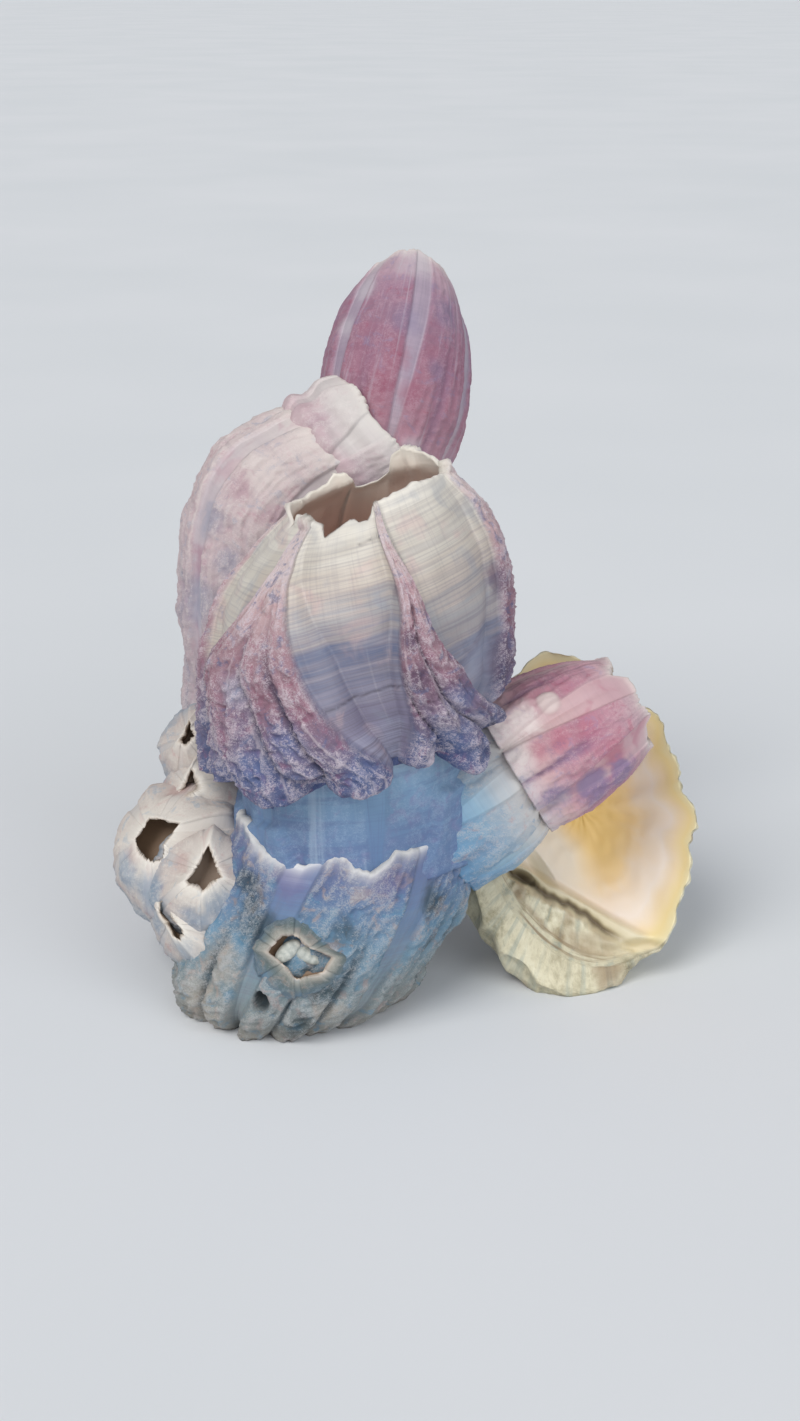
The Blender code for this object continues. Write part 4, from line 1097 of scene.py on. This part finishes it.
def stalk_look():
    """Smooth lavender blue, the blue partly a painted reflection of blue light."""
    return shell_look(
        "stalk_shell",
        [(0.0, "5e7aa2"), (0.4, "6885aa"), (0.7, "7596b6"), (1.0, "87a5c0")],
        [(0.0, "607aa2"), (0.4, "6c8aad"), (0.75, "7b9bb9"), (1.0, "88a5bf")],
        CUP, groove="64709a", groove_share=0.3, crest="aabdd2", crest_share=0.3, line_colour="5f6f98",
        rough_patches=[("857fa6", 0.5, 0.68, 0.5)], grit=0.2, threads=0.3, streaks=0.5, veins=0.5,
        streak_colour="b9cad9", vein_colour="b9cad9", streak_scale=0.7, rings=0.45, lip_share=0.9,
    )


def base_look():
    """Pitted blue grey with a white rim, and painted shade in its pits and hollows."""
    return shell_look(
        "base_shell",
        [(0.0, "8a8e8a"), (0.35, "80949f"), (0.7, "6a83a6"), (1.0, "62709a")],
        [(0.0, "979289"), (0.3, "86969c"), (0.55, "7498b2"), (0.8, "667fa5"), (1.0, "656d99")],
        # The knob colour here is painted shade, which darkens the pits that the base's knobs sink.
        CUP, groove="40505a", groove_share=0.65, crest="c9c9ca", crest_share=0.5, knob="1f2a30",
        rough_patches=[("b3a09c", 0.53, 0.66, 0.65), ("5f8fae", 0.46, 0.34, 0.55)],
        # The first, dark stain is painted shade in the base's hollows and in the gaps beside the small
        # barnacles.
        stains=[("2f4248", 0.75), ("b3a797", 0.6), ("6c6690", 0.6)], lip="eceae8", lip_share=1.0,
    )


def rear_look():
    """Pale blush plates with grey painted shade in their grooves and on their front left side."""
    return shell_look(
        "rear_shell",
        [(0.0, "a8a4ae"), (0.4, "b6abb4"), (0.8, "c3b6bb"), (1.0, "d0c5c4")],
        [(0.0, "a39fab"), (0.35, "b3a5ae"), (0.7, "c6b2b6"), (1.0, "d2c3c2")],
        CUP, groove="7f7f96", groove_share=0.6, crest="e0d5d2", crest_share=0.5, grit=0.4, rings=0.15,
        rough_patches=[("bf95a0", 0.52, 0.68, 0.5), ("9ea3b6", 0.46, 0.32, 0.5)], lines=0.1, threads=0.0,
        smooth_patches=[("b78f9c", 0.5, 0.66, 0.5)], streaks=0.0, veins=0.4, vein_colour="e2d8d3",
        # The first, blue grey stain is painted shade on the barnacle's front left side.
        stains=[("8b90a6", 0.6), ("dcd0cc", 0.55), ("a97f90", 0.5)], weave=0.1,
    )


def collar_look():
    """Pale pink, whiter at its mouth."""
    return shell_look(
        "collar_shell",
        [(0.0, "c9b3b6"), (0.25, "cbb6ba"), (0.45, "cec3c3"), (1.0, "d6cfcc")],
        [(0.0, "c8b0b5"), (0.3, "c9b1b6"), (0.5, "cec0c1"), (1.0, "d6cfcc")],
        CUP, groove="a892a0", groove_share=0.3, crest="e0d8d5", crest_share=0.45, grit=0.3,
        rough_patches=[("c29aa4", 0.53, 0.68, 0.3)], lines=0.12, threads=0.05, streaks=0.1,
        stains=[("d3cfcb", 0.5), ("bb929c", 0.3)], weave=0.1,
    )


def top_look():
    """Magenta with paler upright stripes."""
    return shell_look(
        "top_shell",
        [(0.0, "c0abb4"), (0.4, "a08ea0"), (0.8, "a695a5"), (1.0, "cbbabe")],
        [
            (0.0, "bd98a5"), (0.2, "a97988"), (0.5, "98677a"), (0.75, "98758a"), (0.9, "b599a5"),
            (1.0, "d2c0c1"),
        ],
        CUP, groove="7d6280", groove_share=0.4, crest="bf9dab", crest_share=0.35,
        rough_patches=[("9c4d64", 0.54, 0.7, 0.5), ("86809f", 0.46, 0.32, 0.5)], grit=0.3,
        stains=[("bcb3bb", 0.65), ("934c63", 0.55), ("7c7390", 0.5)],
        veins=0.5, vein_colour="b9aebb", rings=0.15, lines=0.2,
        streak_scale=1.8, streaks=0.4, streak_colour="b9b3c2",
    )


def root_look():
    """White that turns blue at its foot."""
    return shell_look(
        "root_shell",
        [(0.0, "6f9ec4"), (0.5, "98b8cd"), (1.0, "ddd7d3")],
        [(0.0, "689bc4"), (0.45, "90b5cf"), (1.0, "ddd5d0")],
        CUP, groove="8390ae", groove_share=0.5, crest="dcd8d6", crest_share=0.5,
        rough_patches=[("c9a5a5", 0.55, 0.7, 0.5), ("7fa5c6", 0.45, 0.32, 0.6)], threads=0.0, streaks=0.05,
        weave=0.08, lines=0.12,
    )


def side_look():
    """Pink with whitish stains, one of them paler as painted light, and a brown cup."""
    return shell_look(
        "side_shell",
        [(0.0, "d2bfbb"), (0.4, "cfaeb0"), (1.0, "bd99a2")],
        [(0.0, "cfc8cc"), (0.16, "d0adae"), (0.35, "c38d99"), (0.6, "b67f90"), (1.0, "bd9ba5")],
        BROWN_CUP, groove="856a8a", groove_share=0.45, crest="d3b3b8", crest_share=0.4,
        rough_patches=[("a9546c", 0.54, 0.7, 0.5), ("8f8bb0", 0.44, 0.3, 0.4)], grit=0.3,
        smooth_patches=[("b0647a", 0.5, 0.64, 0.5)], veins=0.3, vein_colour="d9c6c6", rings=0.2,
        threads=0.0, weave=0.08,
        # The second, cream stain is the shell's own colour made paler, painted light against the front
        # barnacle's shadow.
        stains=[("b4657a", 0.55), ("ebdfdb", 0.85), ("77729a", 0.7)], knob="dccac6", lines=0.1,
    )


def small_look():
    """Whitish, and blue grey at the foot."""
    return shell_look(
        "small_shell",
        [(0.0, "6f8296"), (0.35, "96a3b0"), (0.6, "bfb9b7"), (1.0, "d6cec5")],
        [(0.0, "6f8296"), (0.35, "99a2ae"), (0.6, "c3b7b2"), (1.0, "d8cfc6")],
        SAND_CUP, groove="8f8f9c", groove_share=0.25, crest="e9e3da", crest_share=0.35, streaks=0.0,
        rough_patches=[("c39a96", 0.55, 0.7, 0.55), ("8da4b8", 0.45, 0.32, 0.5)], grit=0.35, threads=0.0,
        smooth_patches=[("c4a19c", 0.55, 0.7, 0.5)], lines=0.15, stains=[("7d93aa", 0.75), ("b48f8a", 0.6)],
    )


def dim_look():
    """A darker, greener grey: its own grey with painted shade, dark green towards the mouth, from the hollow
    in the base where it sits.
    """
    return shell_look(
        "dim_shell",
        [(0.0, "7189a2"), (0.55, "6f8696"), (0.85, "5f7274"), (1.0, "78837f")],
        [(0.0, "7189a2"), (0.55, "6e8595"), (0.85, "5f7274"), (1.0, "78837f")],
        SAND_CUP, groove="5f7078", groove_share=0.35, crest="b4bcc0", crest_share=0.35, streaks=0.0,
        rough_patches=[("a3968c", 0.52, 0.66, 0.6), ("4c6a68", 0.46, 0.34, 0.5)], threads=0.0,
        smooth_patches=[("a3968c", 0.5, 0.64, 0.6), ("5f8aa8", 0.46, 0.34, 0.5)], lip="c9bfb2", lip_share=0.5,
    )


def looks():
    """Each barnacle's material and its slot. Those on the left share one."""
    return dict(
        front_barnacle=(front_look(), "purple_shell"), stalk_barnacle=(stalk_look(), "lavender_shell"),
        base_barnacle=(base_look(), "lavender_shell"), rear_barnacle=(rear_look(), "blush_shell"),
        collar_barnacle=(collar_look(), "blush_shell"), top_barnacle=(top_look(), "pink_shell"),
        side_root_barnacle=(root_look(), "white_shell"), side_barnacle=(side_look(), "pink_shell"),
        small=(small_look(), "white_shell"), small_barnacle_front=(dim_look(), "white_shell"),
    )


def build_cluster():
    """Each solid's dense mesh in its material."""
    finish = looks()
    shells = [
        base_barnacle(), stalk_barnacle(), front_barnacle(), rear_barnacle(), collar_barnacle(),
        top_barnacle(), side_root_barnacle(), side_barnacle(), *small_barnacles(),
    ]
    for shell in shells:
        put(shell.name, "_shell", *shell.grid(), *finish.get(shell.name, finish["small"]))
    valve = Valve((35.7, 11.8, 24.6), (-0.3, 0.47, 0.84), (-0.05, -0.88, 0.47))
    put("jewel_box_valve", "_shell", *valve.grid(), valve_look(), "cream_shell")
    grey = lid_look()
    for name, middle, facing, along, size in (
        ("front_left", (-8.6, -20.9, 15.8), (-0.15, -0.8, 0.6), (-0.7, -0.3, -0.5), (2.2, 1.2, 0.6)),
        ("front_right", (-5.9, -20.9, 15.3), (0.15, -0.8, 0.6), (0.8, -0.1, -0.5), (2.2, 1.1, 0.6)),
        ("low", (-25.1, -10.6, 15.8), (-0.62, -0.72, 0.1), (0.5, -0.4, -0.7), (1.9, 0.7, 0.5)),
    ):
        put("operculum_" + name, "_lid", *lid(middle, facing, along, size), grey, "grey_plate")


def floor():
    """A plain pale ground, round and 30 m across."""
    mesh = bpy.data.meshes.new("floor")
    ring = [(15 * math.cos(a), 15 * math.sin(a), 0) for a in np.linspace(0, 2 * math.pi, 64, endpoint=False)]
    mesh.from_pydata(ring, [], [list(range(64))])
    thing = bpy.data.objects.new("floor", mesh)
    bpy.context.scene.collection.objects.link(thing)
    look = Look("floor")
    mottle = look.noise(look.add("ShaderNodeTexCoord", {}).outputs["Object"], 2.0, scale=6.0)
    mesh.materials.append(look.finish(look.ramp(mottle, [(0.3, "dfe2e6"), (0.7, "e4e6ea")]), 0.8))


def sun(name, direction, strength, spread, colour):
    """A broad soft light from far off, which lights the whole floor evenly."""
    data = bpy.data.lights.new(name, "SUN")
    data.energy, data.angle, data.color = strength, math.radians(spread), colour
    lamp = bpy.data.objects.new(name, data)
    bpy.context.scene.collection.objects.link(lamp)
    lamp.rotation_mode = "QUATERNION"
    lamp.rotation_quaternion = Vector(direction).to_track_quat("Z", "Y")


def camera():
    """The photograph's camera, which looks down at the cluster from in front."""
    target, distance, tilt = Vector((0.0073, 0.0, 0.0444)), 0.3, math.radians(20)
    view = Vector((0, math.cos(tilt), -math.sin(tilt)))
    data = bpy.data.cameras.new("camera")
    data.lens, data.sensor_width, data.clip_start = 52.0, 36.0, 0.01
    eye = bpy.data.objects.new("camera", data)
    bpy.context.scene.collection.objects.link(eye)
    eye.location = target - view * distance
    eye.rotation_mode = "QUATERNION"
    eye.rotation_quaternion = view.to_track_quat("-Z", "Y")
    bpy.context.scene.camera = eye


def studio():
    """Soft lights and the pale floor."""
    floor()
    sun("key", (-0.55, -0.75, 1.0), 1.75, 35, (1.0, 0.985, 0.95))
    sun("fill", (0.6, -0.9, 0.45), 1.12, 60, (0.95, 0.98, 1.0))
    world = bpy.data.worlds.new("studio")
    world.use_nodes = True
    sky = world.node_tree.nodes["Background"]
    sky.inputs["Color"].default_value = (0.88, 0.92, 0.97, 1)
    sky.inputs["Strength"].default_value = 0.38
    bpy.context.scene.world = world
    bpy.context.scene.view_settings.view_transform = "Standard"


for old in list(bpy.context.scene.objects):
    if old.name in ("Cube", "Light", "Camera"):
        bpy.data.objects.remove(old)
build_cluster()
studio()
camera()
